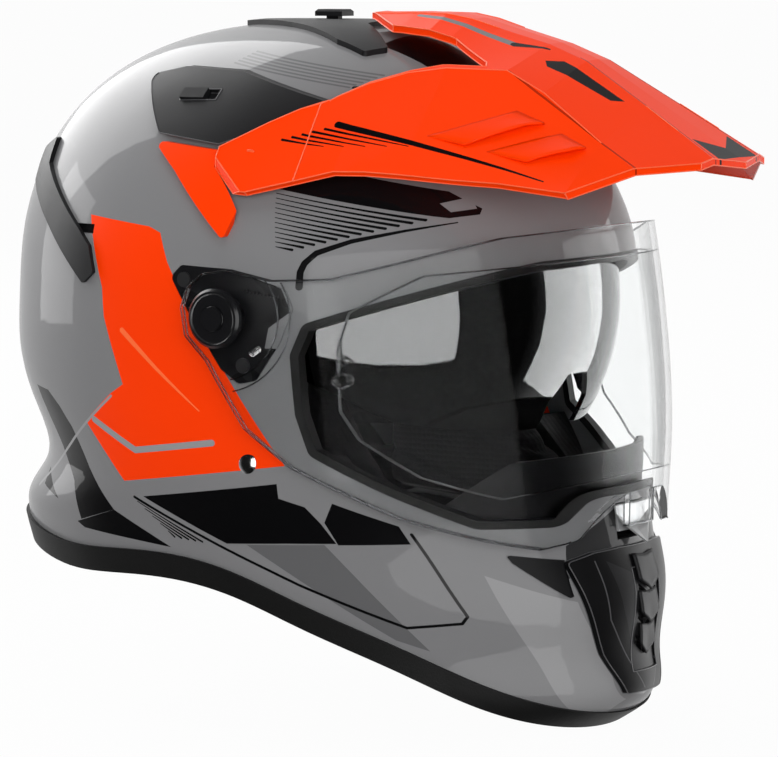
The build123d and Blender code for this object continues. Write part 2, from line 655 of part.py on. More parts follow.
def peak_section(row):
    """A cross-section of the peak: a roof-shaped band."""
    ahead, over, ridge, panel_y, panel_z, shoulder_y, shoulder_z, edge_y, edge_z = row
    half = [(edge_y, edge_z), (shoulder_y, shoulder_z), (panel_y, panel_z)]
    left = [(y * SHELL_HALF, z * CROWN) for y, z in half]
    line = [(-y, z) for y, z in left] + [(0, ridge * CROWN)] + left[::-1]
    points = line + inner_line(line, PEAK_THICKNESS)[::-1]
    x = CENTRE_X + ahead * FRONT_REACH + over * PEAK_OVERHANG
    return Wire.make_polygon([(x, y, z) for y, z in points], close=True)


def peak_outline_prism(grow):
    """The peak's outline from above, pushed up from the pivots' height."""
    side = [(CENTRE_X + a * FRONT_REACH + b * PEAK_OVERHANG, y * SHELL_HALF)
            for a, b, y in PEAK_OUTLINE_SHARES[1:]]
    face = make_face(Polyline(*side, *[(x, -y) for x, y in side[-2::-1]], close=True))
    if grow:
        face = offset(face, amount=grow, kind=Kind.INTERSECTION)
    return extrude(face, amount=2 * CROWN, dir=(0, 0, 1))


def peak_plate():
    """The peak: a lofted roof band, trimmed to its outline from above, with a pivot pin in each wing."""
    band = Solid.make_loft([peak_section(row) for row in PEAK_STATION_SHARES], True)
    plate = band & peak_outline_prism(0)
    pin = peak_pin(PEAK_PIN_RADIUS, PEAK_PIN_DEPTH)
    return plate + pin + mirror(pin, about=Plane.XZ)


def top_outline(shares, corner, z_low, z_high):
    """A mirrored outline seen from above, pushed between two heights."""
    side = [(CENTRE_X + u * FRONT_REACH, w * SHELL_HALF) for u, w in shares]
    loop = side[1:-1] + [(x, -y) for x, y in side[1:-1][::-1]]
    face = make_face(FilletPolyline(*loop, radius=corner, close=True))
    return extrude(Pos(0, 0, z_low) * face, amount=z_high - z_low, dir=(0, 0, 1))


def top_slider_slot(gap):
    """The slot for the top slider's stem."""
    half_width = TOP_SLIDER_STEM / 2 + gap
    half_length = TOP_SLIDER_STEM_LENGTH / 2 + gap
    return block(CENTRE_X - half_length - VENT_TRAVEL, CENTRE_X + half_length, -half_width, half_width,
                 CROWN - FOAM_INSET - TOP_SLIDER_STEM_DEPTH, CROWN + OVERRUN)


def top_slider_knob():
    """The knob of the top vent, with its stem."""
    low = CROWN + HOUSING_PROUD + TOP_SLIDER_GAP
    cap = block(CENTRE_X - TOP_SLIDER_LENGTH / 2, CENTRE_X + TOP_SLIDER_LENGTH / 2,
                -TOP_SLIDER_WIDTH / 2, TOP_SLIDER_WIDTH / 2, low, low + TOP_SLIDER_HEIGHT)
    cap = chamfer(cap.edges().group_by(Axis.Z)[-1], TOP_SLIDER_HEIGHT / 3)
    stem = block(CENTRE_X - TOP_SLIDER_STEM_LENGTH / 2, CENTRE_X + TOP_SLIDER_STEM_LENGTH / 2,
                 -TOP_SLIDER_STEM / 2, TOP_SLIDER_STEM / 2, low - TOP_SLIDER_STEM_DEPTH, low)
    return cap + stem


def side_slider_plane():
    """A plane on the left side cover, facing outwards, at the slider's rest."""
    x, z = CENTRE_X - SIDE_SLIDER_REAR, SIDE_SLIDER_RISE
    y = shell_y(x, z, -COVER_PROUD)
    slope = (shell_y(x, z + TILE, -COVER_PROUD) - shell_y(x, z - TILE, -COVER_PROUD)) / (2 * TILE)
    return Plane(origin=(x, y, z), x_dir=(1, 0, 0), z_dir=(0, 1, -slope))


def side_slider_box(gap, travel):
    """The left side slider, or the pocket that it runs in."""
    length = SIDE_SLIDER_LENGTH + 2 * gap + travel
    height = SIDE_SLIDER_HEIGHT + gap + (OVERRUN if travel else 0)
    box = Box(length, SIDE_SLIDER_WIDTH + 2 * gap, height, align=(Align.MIN, Align.CENTER, Align.MIN))
    return side_slider_plane() * Pos(-SIDE_SLIDER_LENGTH / 2 - gap, 0, -SIDE_SLIDER_SUNK - gap) * box


def chin_frame_blank():
    """The chin vent frame's outline seen from the front, pushed through the chin."""
    side = [(y * SHELL_HALF, z * CROWN) for y, z in CHIN_FRAME_SHARES[1:-1]]
    points = side + [(-y, z) for y, z in side[::-1]]
    return front_prism(points, CHIN_FRAME_CORNER, FRONT_X - OVERRUN, FRONT_X + OVERRUN)


def chin_opening(half, top, bottom):
    """An upright opening in the middle of the chin."""
    return block(FRONT_X - OVERRUN, FRONT_X + OVERRUN, -half, half, -bottom, -top)


def tab_window(gap, travel):
    """The window in the chin that the vent tab slides in."""
    return block(FRONT_X - OVERRUN, FRONT_X + OVERRUN, -TAB_HALF - gap, TAB_HALF + gap,
                 -TAB_TOP - TAB_HEIGHT - travel - gap, -TAB_TOP + gap)


def chin_grille():
    """The slotted column in the chin opening: a plate with nested chevron slots."""
    half = CHIN_OPENING_HALF - GRILLE_GAP
    top, bottom = -CHIN_OPENING_TOP - GRILLE_GAP, -CHIN_OPENING_BOTTOM + GRILLE_GAP
    plate = layer(block(FRONT_X - OVERRUN, FRONT_X + OVERRUN, -half, half, bottom, top),
                  GRILLE_RECESS - CHIN_FRAME_PROUD, 0)
    pitch = (top - bottom) / (CHEVRON_COUNT + 1)
    reach = CHEVRON_REACH_SHARE * half
    for index in range(CHEVRON_COUNT):
        z = top - (index + CHEVRON_START_SHARE) * pitch
        points = [(-reach, z), (0, z - CHEVRON_DROP), (reach, z), (reach, z - CHEVRON_WIDTH),
                  (0, z - CHEVRON_DROP - CHEVRON_WIDTH), (-reach, z - CHEVRON_WIDTH)]
        plate -= front_prism(points, TILE, FRONT_X - OVERRUN, FRONT_X + OVERRUN)
    return plate


def pad_shape():
    """The left cheek pad: crowned towards the face, its sides drawn in."""
    outline = make_face(FilletPolyline(*side_points(PAD_SHARES), radius=PAD_CORNER, close=True))
    outer = CAVITY_HALF + LINER_THICKNESS
    depth = outer - PAD_INNER_Y
    faces = []
    for depth_share, drawn_share in PAD_STAGE_SHARES:
        face = offset(outline, amount=-drawn_share * PAD_CROWN) if drawn_share else outline
        faces.append((side_plane(PAD_INNER_Y + depth_share * depth) * face).face())
    return loft(faces)


def ring_place(level):
    """Where a strap ring turns: below the end of the left strap, one level under the other."""
    low = -STRAP_FLOOR_DROP + STRAP_THICKNESS / 2
    loop_radius = RING_WIRE_RADIUS + RING_LOOP_WALL
    return STRAP_LEFT_END - loop_radius, low - level * RING_PITCH_SHARE * loop_radius


def strap_ring(level):
    """A wire D-ring that lies flat: a straight bar along the strap's end and a round bow."""
    y, z = ring_place(level)
    x = CENTRE_X + STRAP_CENTRE_AHEAD
    half = RING_WIDTH / 2 + RING_WIRE_RADIUS
    bow = ThreePointArc((half, 0), (0, -half), (-half, 0))
    bar = Line((-half, 0), (half, 0))
    plane = Plane(origin=(x, y, z), x_dir=(1, 0, 0), z_dir=(0, 0, 1))
    start = Plane(origin=(half, 0, 0), x_dir=(1, 0, 0), z_dir=(0, -1, 0)) * Circle(RING_WIRE_RADIUS)
    ring = sweep(start, path=bow) + extrude(Plane(origin=(-half, 0, 0), x_dir=(0, 1, 0), z_dir=(1, 0, 0))
                                            * Circle(RING_WIRE_RADIUS), amount=bar.length)
    return plane * ring


def strap_loops():
    """The sewn loops at the left strap's end that carry the two rings."""
    loops = Part()
    x = CENTRE_X + STRAP_CENTRE_AHEAD
    half = STRAP_WIDTH / 2 - LOOP_MARGIN
    outer = STRAP_LEFT_END + STRAP_WIDTH / 2
    for level in range(2):
        y, z = ring_place(level)
        plane = Plane(origin=(x - half, y, z), x_dir=(0, 1, 0), z_dir=(1, 0, 0))
        radius = RING_WIRE_RADIUS + RING_LOOP_WALL
        tube = extrude(plane * Circle(radius), amount=2 * half)
        web = block(x - half, x + half, y, outer, z - STRAP_THICKNESS / 2, z + STRAP_THICKNESS / 2)
        bore = extrude(plane * Circle(RING_WIRE_RADIUS + RUNNING_GAP), amount=STRAP_WIDTH)
        loops += (tube + web) - bore
    y, z = ring_place(1)
    loops += block(x - half, x + half, outer - STRAP_THICKNESS, outer,
                   z - STRAP_THICKNESS / 2, -STRAP_FLOOR_DROP + STRAP_THICKNESS)
    return loops


def strap_web(end_y):
    """A chin strap on the left: down inside the shell from its rivet, then inwards under the cheek pad."""
    hanger = layer(left_prism(STRAP_SHARES, TILE), FOAM_INSET, FOAM_INSET + STRAP_THICKNESS)
    x = CENTRE_X + STRAP_CENTRE_AHEAD
    shelf = block(x - STRAP_WIDTH / 2, x + STRAP_WIDTH / 2, end_y, FAR_Y,
                  -STRAP_FLOOR_DROP, -STRAP_FLOOR_DROP + STRAP_THICKNESS)
    return hanger + (shelf & shell_body(FOAM_INSET))


def rivet_place():
    """The chin strap's rivet on the shell, in side view."""
    return CENTRE_X + RIVET_AHEAD, -RIVET_DROP


def strap_rivet():
    """The left rivet: a domed head on the shell and a shank through it to the strap."""
    x, z = rivet_place()
    face = shell_y(x, z, 0)
    dome_radius = (RIVET_HEAD_RADIUS ** 2 + RIVET_HEAD_HEIGHT ** 2) / (2 * RIVET_HEAD_HEIGHT)
    head = rod(x, z, RIVET_HEAD_RADIUS, face - RIVET_HEAD_HEIGHT, face + 2 * RIVET_HEAD_HEIGHT)
    head &= Pos(x, face + RIVET_HEAD_HEIGHT - dome_radius, z) * Sphere(dome_radius)
    shank = rod(x, z, RIVET_SHANK_RADIUS, face - SHELL_WALL - 2 * STRAP_THICKNESS, face)
    return head - shell_body(0) + (shank & shell_body(0)) - shell_body(FOAM_INSET)


def pivot_base():
    """The left pivot plate: let into the shell, with a boss for the visor and a pin for the sun visor."""
    plate = layer(left_prism(BASE_SHARES, BASE_CORNER, 0, -SEAM_GAP), 0, SHELL_WALL)
    plate += layer(left_prism(BASE_SHARES, BASE_CORNER, 0, BASE_LIP), SHELL_WALL, SHELL_WALL + BASE_FLANGE)
    inner = shell_y(PIVOT_X, 0, SHELL_WALL + BASE_FLANGE)
    boss = rod(PIVOT_X, 0, BOSS_RADIUS, inner, KNOB_INNER_Y - KNOB_GAP)
    bore = rod(PIVOT_X, 0, BOSS_BORE_RADIUS, inner + BOSS_FLOOR, FAR_Y)
    pin = rod(PIVOT_X, 0, SUN_PIN_RADIUS, sun_pin_end(), inner + BOSS_FLOOR / 2)
    plate = plate + boss - bore + pin
    for x, z in side_points(BASE_SCREW_SHARES):
        plate -= screw_shape(x, z, RUNNING_GAP)
    return plate


def screw_shape(x, z, gap):
    """A base plate screw, or the hole for it when there is a gap."""
    face = shell_y(x, z, 0)
    top = FAR_Y if gap else face + BASE_SCREW_HEAD_PROUD
    head = rod(x, z, BASE_SCREW_HEAD_RADIUS + gap, face - BASE_SCREW_HEAD_SUNK, top)
    return head + rod(x, z, BASE_SCREW_RADIUS + gap, face - BASE_SCREW_LENGTH - gap, face)


def visor_knob():
    """The left pivot knob: a disc outside the visor and a neck that turns in the boss."""
    neck_end = shell_y(PIVOT_X, 0, SHELL_WALL + BASE_FLANGE) + BOSS_FLOOR + KNOB_GAP
    knob = rod(PIVOT_X, 0, KNOB_RADIUS, KNOB_INNER_Y, KNOB_OUTER_Y)
    knob = chamfer(knob.edges().group_by(Axis.Y)[-1], KNOB_THICKNESS / 3)
    knob += rod(PIVOT_X, 0, NECK_RADIUS, neck_end, KNOB_INNER_Y)
    return knob - rod(PIVOT_X, 0, BUTTON_RADIUS + RUNNING_GAP, neck_end - KNOB_GAP, FAR_Y)


def knob_button():
    """The left release button in the middle of the knob."""
    top = KNOB_OUTER_Y + BUTTON_PROUD
    return rod(PIVOT_X, 0, BUTTON_RADIUS, top - BUTTON_LENGTH, top)


def outer_shell():
    """The hard shell with its eye port, lower edge, vent holes, slots and rivet holes."""
    port = across_prism(PORT_SHARES, PORT_CORNER)
    shell = shell_body(0) - shell_body(SHELL_WALL)
    shell -= port
    shell -= rim_band(-LOWER_DEPTH, RIM_WEB)
    base_hole = left_prism(BASE_SHARES, BASE_CORNER, SHELL_HALF / 2)
    rivet_hole = rod(*rivet_place(), RIVET_SHANK_RADIUS, SHELL_HALF / 2, FAR_Y)
    pin_hole = peak_pin(PEAK_PIN_RADIUS + RUNNING_GAP, PEAK_PIN_DEPTH + OVERRUN / 4)
    holes = [base_hole, rivet_hole, pin_hole, rear_vent_slot()]
    for hole in holes:
        shell -= hole
        shell -= mirror(hole, about=Plane.XZ)
    shell -= sun_slider_slot(SLIDER_SLOT_GAP, SLIDER_STEM_DEPTH)
    shell -= top_slider_slot(SLIDER_SLOT_GAP)
    shell -= chin_opening(CHIN_DUCT_HALF, CHIN_OPENING_TOP, CHIN_OPENING_BOTTOM)
    shell -= tab_window(SEAM_GAP, TAB_TRAVEL)
    return shell


def rear_vent_slot():
    """The air slot behind the left rear vent."""
    x, z = side_points(REAR_VENT_SHARES)[3]
    y = shell_y(x, z, 0)
    return Pos(x, y, z) * Box(REAR_VENT_SLOT, REAR_VENT_SLOT, REAR_VENT_SLOT / 4)


def eps_crown():
    """The upper foam, with the sun visor's pocket and the channels for strap and cable."""
    foam = across_prism(EPS_CROWN_SHARES, PORT_CORNER) & shell_body(FOAM_INSET)
    foam -= cavity_body(-LINER_THICKNESS - FOAM_GAP)
    foam -= sun_visor_pocket()
    foam -= pad_recess()
    foam -= mirror(pad_recess(), about=Plane.XZ)
    flange = layer(left_prism(BASE_SHARES, BASE_CORNER, 0, BASE_LIP + FOAM_GAP), SHELL_WALL,
                   SHELL_WALL + BASE_FLANGE + FOAM_GAP)
    channel = strap_channel(STRAP_CHANNEL_GAP)
    pin_hole = peak_pin(PEAK_PIN_RADIUS + FOAM_GAP, PEAK_PIN_DEPTH + FOAM_GAP)
    for room in (flange, channel, pin_hole):
        foam -= room
        foam -= mirror(room, about=Plane.XZ)
    foam -= cable_tube(CABLE_RADIUS + CABLE_CHANNEL_GAP)
    return foam - top_slider_slot(FOAM_GAP)


def pad_recess():
    """Room in the foam for the left cheek pad."""
    outer = CAVITY_HALF + LINER_THICKNESS + SEAM_GAP
    return side_prism(side_points(PAD_SHARES), PAD_CORNER, PAD_INNER_Y, outer, 2 * SEAM_GAP)


def eps_chin():
    """The foam in the chin bar, open behind the chin vent."""
    foam = layer(across_prism(EPS_CHIN_SHARES, TILE), FOAM_INSET, FOAM_INSET + CHIN_FOAM_THICKNESS)
    top = CHIN_OPENING_TOP - (CHIN_OPENING_HALF - CHIN_DUCT_HALF) - SEAM_GAP
    return foam - chin_opening(CHIN_OPENING_HALF + SEAM_GAP, top, LOWER_DEPTH)


def cheek_core():
    """The foam block behind the left cheek pad."""
    low = CAVITY_HALF + LINER_THICKNESS + 2 * SEAM_GAP
    core = left_prism(CORE_SHARES, TILE, low) & shell_body(FOAM_INSET)
    return core - strap_channel(STRAP_CHANNEL_GAP)


def comfort_liner():
    """The washable crown lining."""
    lining = across_prism(LINER_SHARES, PORT_CORNER) & cavity_body(-LINER_THICKNESS)
    return lining - cavity_body(0)


def neck_roll():
    """The padded roll round the back of the neck."""
    top = -NECK_ROLL_TOP_DROP
    room = block(CENTRE_X - REAR_REACH, CENTRE_X - NECK_ROLL_FRONT, -FAR_Y, FAR_Y,
                 top - NECK_ROLL_HEIGHT, top)
    outer = SHELL_WALL + RIM_LIP + SEAM_GAP
    return layer(room, outer, outer + NECK_ROLL_THICKNESS)


def lower_rim(shell):
    """The rubber channel that grips the shell's lower edge."""
    band = rim_band(0, RIM_HEIGHT)
    ring = layer(band, -RIM_PROUD, SHELL_WALL + RIM_LIP)
    return ring - shell


def eye_port_seal():
    """The rubber seal round the eye port."""
    opening = across_prism(PORT_SHARES, PORT_CORNER, -SEAL_WIDTH)
    return layer(across_prism(PORT_SHARES, PORT_CORNER), -SEAL_PROUD, SHELL_WALL + SEAL_INNER_LIP) - opening


def side_cover():
    """The left crown vent cover, with the pocket for its slider."""
    cover = layer(left_prism(COVER_SHARES, COVER_CORNER, SHELL_HALF / 3), -COVER_PROUD, 0)
    return cover - side_slider_box(SEAM_GAP, VENT_TRAVEL)


def top_housing():
    """The housing of the top vent."""
    blank = top_outline(HOUSING_SHARES, HOUSING_CORNER, CROWN / 2, CROWN + OVERRUN)
    return layer(blank, -HOUSING_PROUD, 0) - top_slider_slot(SLIDER_SLOT_GAP)


def chin_frame():
    """The black chin vent frame, open in the middle."""
    frame = layer(chin_frame_blank(), -CHIN_FRAME_PROUD, 0)
    return frame - chin_opening(CHIN_OPENING_HALF, CHIN_OPENING_TOP, CHIN_OPENING_BOTTOM)


def chin_tab():
    """The tab in the chin that opens and closes the vent."""
    return layer(tab_window(-SEAM_GAP, 0), -TAB_PROUD, TAB_DEPTH)


def chin_mesh():
    """The fine mesh behind the chin opening."""
    margin = CHIN_OPENING_HALF - CHIN_DUCT_HALF
    blank = chin_opening(CHIN_OPENING_HALF, CHIN_OPENING_TOP - margin, CHIN_OPENING_BOTTOM + margin)
    return layer(blank, SHELL_WALL, SHELL_WALL + MESH_THICKNESS)


def chin_curtain():
    """The fabric curtain under the chin."""
    outer = FOAM_INSET + SEAM_GAP
    return layer(across_prism(CURTAIN_SHARES, TILE), outer, outer + CURTAIN_THICKNESS)


def breath_guard():
    """The rubber guard that turns the breath away from the visor."""
    outer = SHELL_WALL + GUARD_GAP
    return layer(across_prism(GUARD_SHARES, BASE_CORNER), outer, outer + GUARD_THICKNESS)


def chin_inlay():
    """The left black inlay beside the chin vent."""
    return layer(left_prism(INLAY_SHARES, TILE), -INLAY_PROUD, 0) - chin_frame_blank()


def peak_bracket():
    """The left bracket that covers the end of the peak's wing."""
    bracket = layer(left_prism(BRACKET_SHARES, BRACKET_CORNER), -BRACKET_PROUD, 0)
    return bracket - peak_outline_prism(BRACKET_GAP)


def pull_tab():
    """The left cheek pad's emergency pull tab, under the pad."""
    x, z = side_points(PAD_SHARES)[5]
    y = CAVITY_HALF
    return block(x - PULL_TAB_WIDTH, x, y, y + PULL_TAB_THICKNESS, z - PULL_TAB_LENGTH, z - SEAM_GAP)


def sun_clip():
    """The clip on the end of the left sun visor pin."""
    end = sun_pin_end()
    ring = rod(PIVOT_X, 0, CLIP_RADIUS, end + CLIP_GAP, end + CLIP_GAP + CLIP_THICKNESS)
    return ring - rod(PIVOT_X, 0, SUN_PIN_RADIUS, 0, FAR_Y)


def strap_snap():
    """The press stud at the right strap's end."""
    x = CENTRE_X + STRAP_CENTRE_AHEAD
    y = -STRAP_RIGHT_END - 2 * SNAP_RADIUS
    return Pos(x, y, -STRAP_FLOOR_DROP) * Cylinder(SNAP_RADIUS, SNAP_THICKNESS,
                                                   align=(Align.CENTER, Align.CENTER, Align.MAX))


def all_nodes():
    """Every piece by its name."""
    nodes = {}
    shell = outer_shell()
    nodes["outer_shell"] = shell
    nodes["eps_crown"] = eps_crown()
    nodes["eps_chin"] = eps_chin()
    nodes["comfort_liner"] = comfort_liner()
    nodes["neck_roll"] = neck_roll()
    nodes["lower_rim_trim"] = lower_rim(shell)
    nodes["eye_port_seal"] = eye_port_seal()
    nodes["chin_curtain"] = chin_curtain()
    nodes["breath_guard"] = breath_guard()
    nodes["clear_visor"] = visor_plate()
    x, z = insert_places()
    nodes["clear_visor"] -= rod(x, z, INSERT_PIN_RADIUS, -FAR_Y, FAR_Y)
    nodes["fog_insert"] = fog_insert()
    nodes["fog_insert_pins"] = insert_pins()
    nodes["sun_visor"] = sun_visor_lens()
    nodes["sun_visor_clips"] = pair(sun_clip())
    nodes["sun_visor_slider"] = sun_slider_knob()
    nodes["sun_visor_cable"] = cable_tube(CABLE_RADIUS)
    nodes["peak"] = peak_plate()
    nodes["top_vent_housing"] = top_housing()
    nodes["top_vent_slider"] = top_slider_knob()
    nodes["chin_vent_frame"] = chin_frame()
    nodes["chin_vent_grille"] = chin_grille()
    nodes["chin_vent_mesh"] = chin_mesh()
    nodes["chin_vent_tab"] = chin_tab()
    nodes["strap_rivets"] = pair(strap_rivet())
    nodes["strap_ring_upper"] = strap_ring(0)
    nodes["strap_ring_lower"] = strap_ring(1)
    nodes["strap_snap"] = strap_snap()
    nodes["chin_strap_left"] = strap_web(STRAP_LEFT_END) + strap_loops()
    nodes["chin_strap_right"] = mirror(strap_web(STRAP_RIGHT_END), about=Plane.XZ)
    screws = [screw_shape(sx, sz, 0) for sx, sz in side_points(BASE_SCREW_SHARES)]
    nodes["pivot_base_screws"] = Compound(children=[half for screw in screws for half in both_sides(screw)])
    left_and_right = {
        "cheek_pad": pad_shape() & shell_body(SHELL_WALL + SEAL_INNER_LIP + SEAM_GAP),
        "cheek_core": cheek_core(),
        "pull_tab": pull_tab(),
        "pivot_base": pivot_base(),
        "visor_knob": visor_knob(),
        "knob_button": knob_button(),
        "peak_bracket": peak_bracket(),
        "side_vent_cover": side_cover(),
        "side_vent_slider": side_slider_box(0, 0),
        "rear_vent": layer(left_prism(REAR_VENT_SHARES, REAR_VENT_CORNER, 0), -REAR_VENT_PROUD, 0),
        "chin_inlay": chin_inlay(),
    }
    for name, left in left_and_right.items():
        nodes[name + "_left"], nodes[name + "_right"] = both_sides(left)
    nodes["cheek_core_left"] -= cable_tube(CABLE_RADIUS + CABLE_CHANNEL_GAP)
    nodes["cheek_core_left"] -= sun_slider_slot(FOAM_GAP, SLIDER_STEM_DEPTH + FOAM_GAP)
    return nodes


os.makedirs("parts", exist_ok=True)
for node_name, piece in all_nodes().items():
    export_step(piece, f"parts/{node_name}.step")
    print(node_name, len(piece.solids()))
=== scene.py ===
import math

import bmesh
import bpy
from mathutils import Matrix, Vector
from mathutils.bvhtree import BVHTree


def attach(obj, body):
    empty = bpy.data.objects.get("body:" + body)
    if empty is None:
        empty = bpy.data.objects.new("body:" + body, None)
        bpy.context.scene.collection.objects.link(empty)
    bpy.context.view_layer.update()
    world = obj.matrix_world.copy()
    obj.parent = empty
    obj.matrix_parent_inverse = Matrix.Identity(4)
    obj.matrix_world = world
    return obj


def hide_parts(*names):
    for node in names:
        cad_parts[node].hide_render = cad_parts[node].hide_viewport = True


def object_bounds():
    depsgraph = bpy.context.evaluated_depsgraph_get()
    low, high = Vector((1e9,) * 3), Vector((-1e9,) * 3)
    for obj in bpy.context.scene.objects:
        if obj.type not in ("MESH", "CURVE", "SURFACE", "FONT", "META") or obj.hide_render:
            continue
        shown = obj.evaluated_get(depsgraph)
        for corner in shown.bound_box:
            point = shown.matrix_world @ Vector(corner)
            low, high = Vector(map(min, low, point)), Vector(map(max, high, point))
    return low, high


# Dual sport helmet. Metres, +X forward, +Y the wearer's left, +Z up.

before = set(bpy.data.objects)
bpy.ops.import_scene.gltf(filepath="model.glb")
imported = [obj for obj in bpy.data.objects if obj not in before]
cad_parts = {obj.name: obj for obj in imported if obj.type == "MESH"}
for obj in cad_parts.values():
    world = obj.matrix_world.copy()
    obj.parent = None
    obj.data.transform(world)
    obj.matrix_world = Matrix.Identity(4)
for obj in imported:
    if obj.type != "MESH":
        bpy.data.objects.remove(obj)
cad_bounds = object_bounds()

MM = 0.001
SIDES = {"left": 1, "right": -1}
X_AXIS = 0
Z_AXIS = 2

# Sizes of the helmet's shell, which the painted outlines follow
CENTRE_X = -5 * MM
FRONT_REACH = 138 * MM
SHELL_HALF = 127 * MM
CROWN = 121 * MM
PIVOT_X = 18 * MM

# View
CAMERA_PLACE = (0.940, -1.548, 0.148)
CAMERA_AIM = (0.0776, -0.0920, -0.0255)
CAMERA_LENS = 188.8
SENSOR_WIDTH = 36.0

# Stage and lamps: a softbox's place, size, brightness with white at 1, and whether gloss mirrors it. Gloss
# sees a white backdrop one way, which starts at one share of facing and is full at another.
WHITE = (1, 1, 1, 1)
FLOOR_REACH = 40.0
FLOOR_ROUGHNESS = 0.9
FLOOR_WHITE = 0.97
FLOOR_GREY = 0.52
AMBIENT = 0.24
ROOM_GLOW = 0.01
BACKDROP_WAY = (-0.51, 0.86, 0.0)
BACKDROP_START = -0.1
BACKDROP_FULL = 0.7
HALF_BOUNCE = 0.5
SOFTBOXES = {
    "front_softbox": ((1.48, -1.43, -0.12), (2.7, 1.9), 2.7, True),
    "side_softbox": ((1.20, 1.55, -0.28), (1.5, 1.6), 2.7, True),
    "rear_softbox": ((-2.0, 0.70, 1.30), (2.2, 1.9), 4.2, True),
    "edge_softbox": ((-2.3, -0.32, 0.42), (1.0, 1.25), 3.2, True),
    "top_softbox": ((0.2, -0.6, 2.10), (1.5, 1.2), 2.2, False),
    "left_softbox": ((0.3, -2.10, 0.55), (1.2, 1.0), 2.4, False),
}

# Soft pieces
MERGE_REACH = 0.01 * MM
PAD_VOXEL = 3.5 * MM
PAD_INSET = 2.0 * MM
PAD_PRESSURE = 4.0
PAD_STEPS = 20
LINER_VOXEL = 3.0 * MM
LINER_INSET = 0.5 * MM
GROOVE_DEPTH = 1.6 * MM
GROOVE_HALF = 2.6 * MM
ROLL_GROOVES = 9
ROLL_SPREAD = math.radians(70)
LINER_SEAM_HALF = 27 * MM
LINER_RIB_PITCH = 34 * MM
CHEEK_SLANT = 0.35
CHEEK_START = 20 * MM
CHEEK_PITCH = 30 * MM
CURTAIN_WALL = 0.9 * MM
CURTAIN_EDGE = 4 * MM
CURTAIN_HEIGHT = -60 * MM
CURTAIN_FACING = 0.3
CURTAIN_CUTS = 6
WEB_BEVEL = 0.35 * MM
WEB_BEVEL_STEPS = 2
WEB_EDGE_ANGLE = math.radians(40)
STITCH_SIDES = 8
STITCH_RINGS = 5
STITCH_HALF = 0.5
STITCH_PITCH = 3.0 * MM
STITCH_LENGTH = 2.0 * MM
STITCH_WIDTH = 0.6 * MM
STRAP_X = 19 * MM
STRAP_ROW_HALF = 8.5 * MM
STRAP_LOW = -105.2 * MM
STRAP_ROW_ENDS = {"left": (64 * MM, 92 * MM), "right": (54 * MM, 92 * MM)}

# Visor pivot: its ratchet's teeth and spring, and the rings moulded in the visor round it
TOOTH_COUNT = 10
TOOTH_SIDES = 4
TOOTH_SIZE = 0.9 * MM
TOOTH_ENDS_MM = ((27.0, 11.2), (40.5, 8.8))
SPRING_ENDS_MM = ((32.5, -13.0), (39.5, -17.0))
SPRING_RADIUS = 1.3 * MM
SPRING_WIRE = 0.28 * MM
SPRING_TURNS = 7
SPRING_SUNK = 0.9 * MM
RING_RADII = (26 * MM, 31 * MM)
RING_START = math.radians(-78)
RING_END = math.radians(42)
RING_STEPS = 40
RING_BEAD = 0.35 * MM
WIRE_SIDES = 6
COIL_STEPS = 12
PLATE_GREY_MM = [
    [(41.0, 14.0), (46.0, 3.0), (64.0, 3.0), (64.0, 30.0), (41.0, 30.0)],
    [(46.0, 3.0), (37.0, -4.0), (35.5, -12.5), (64.0, -12.5), (64.0, 3.0)],
    [(35.5, -12.5), (40.0, -18.0), (40.0, -40.0), (64.0, -40.0), (64.0, -12.5)],
]

# Beads along sharp edges: node, radius, least angle of the edge in degrees, finish, body and slot
EDGE_BEADS = [
    ("clear_visor", 0.35 * MM, 50, "lens_edge", "visor", "clear_lens"),
    ("fog_insert", 0.3 * MM, 50, "lens_edge", "visor", "clear_lens"),
    # The peak's and vent covers' beads are rounded edges coloured paler than their parts: a painted highlight
    ("peak", 0.3 * MM, 16, "peak_edge_highlight", "peak", "peak_paint"),
    ("side_vent_cover_right", 0.3 * MM, 40, "vent_edge_highlight", "helmet", "black_plastic"),
    ("side_vent_cover_left", 0.3 * MM, 40, "vent_edge_highlight", "helmet", "black_plastic"),
    ("chin_vent_frame", 0.25 * MM, 40, "vent_edge_highlight", "helmet", "black_plastic"),
]

# Louvres on the peak, on the wearer's right: the two ends of the root edge, then three places along the mouth
SCOOP_LIFT = 3.2 * MM
SCOOP_ROOT = 0.3 * MM
SCOOP_WALL = 1.0 * MM
SCOOP_ROWS = 8
SCOOP_SWELL = (0.12, 0.76)
SCOOP_CORNERS_MM = [
    [(89.8, -81.6, 75.4), (120.4, -59.9, 85.7), (134.0, -60.5, 80.1), (127.2, -65.4, 78.1),
     (106.8, -79.6, 71.2)],
    [(116.5, -78.4, 69.3), (142.2, -61.0, 76.6), (154.5, -62.9, 70.4), (150.2, -68.7, 68.0),
     (135.2, -78.2, 64.8)],
]

# Chin mask: V-shaped scales down its middle, on a face that curves back up, down and to the sides, and the
# vent tab's blade, given as the two facets of its left half in mm. A scale: its tip's height, half width and
# depth at the middle, in mm.
SCALES_MM = [(-120.0, 9.0, 15.0), (-134.5, 7.8, 13.5), (-148.5, 6.2, 13.0)]
SCALE_RISE = 5 * MM
SCALE_NARROWING = 4 * MM
SCALE_LIFT = 1.7 * MM
SCALE_ROOT = 0.3 * MM
SCALE_STEPS = 8
CHIN_FACE_PEAK = (152.6 * MM, -126 * MM)
CHIN_FACE_DROP = 1.7 * MM
CHIN_FACE_REACH = 18 * MM
CHIN_FACE_TURN = 60 * MM
BLADE_MM = [
    [(144.3, 15.0, -83.5), (145.7, 0.0, -83.5), (145.9, 0.0, -93.0), (144.6, 14.5, -87.0)],
    [(144.6, 14.5, -87.0), (145.9, 0.0, -93.0), (152.2, 0.0, -100.0), (146.6, 11.5, -91.0)],
]
BLADE_WALL = 0.8 * MM
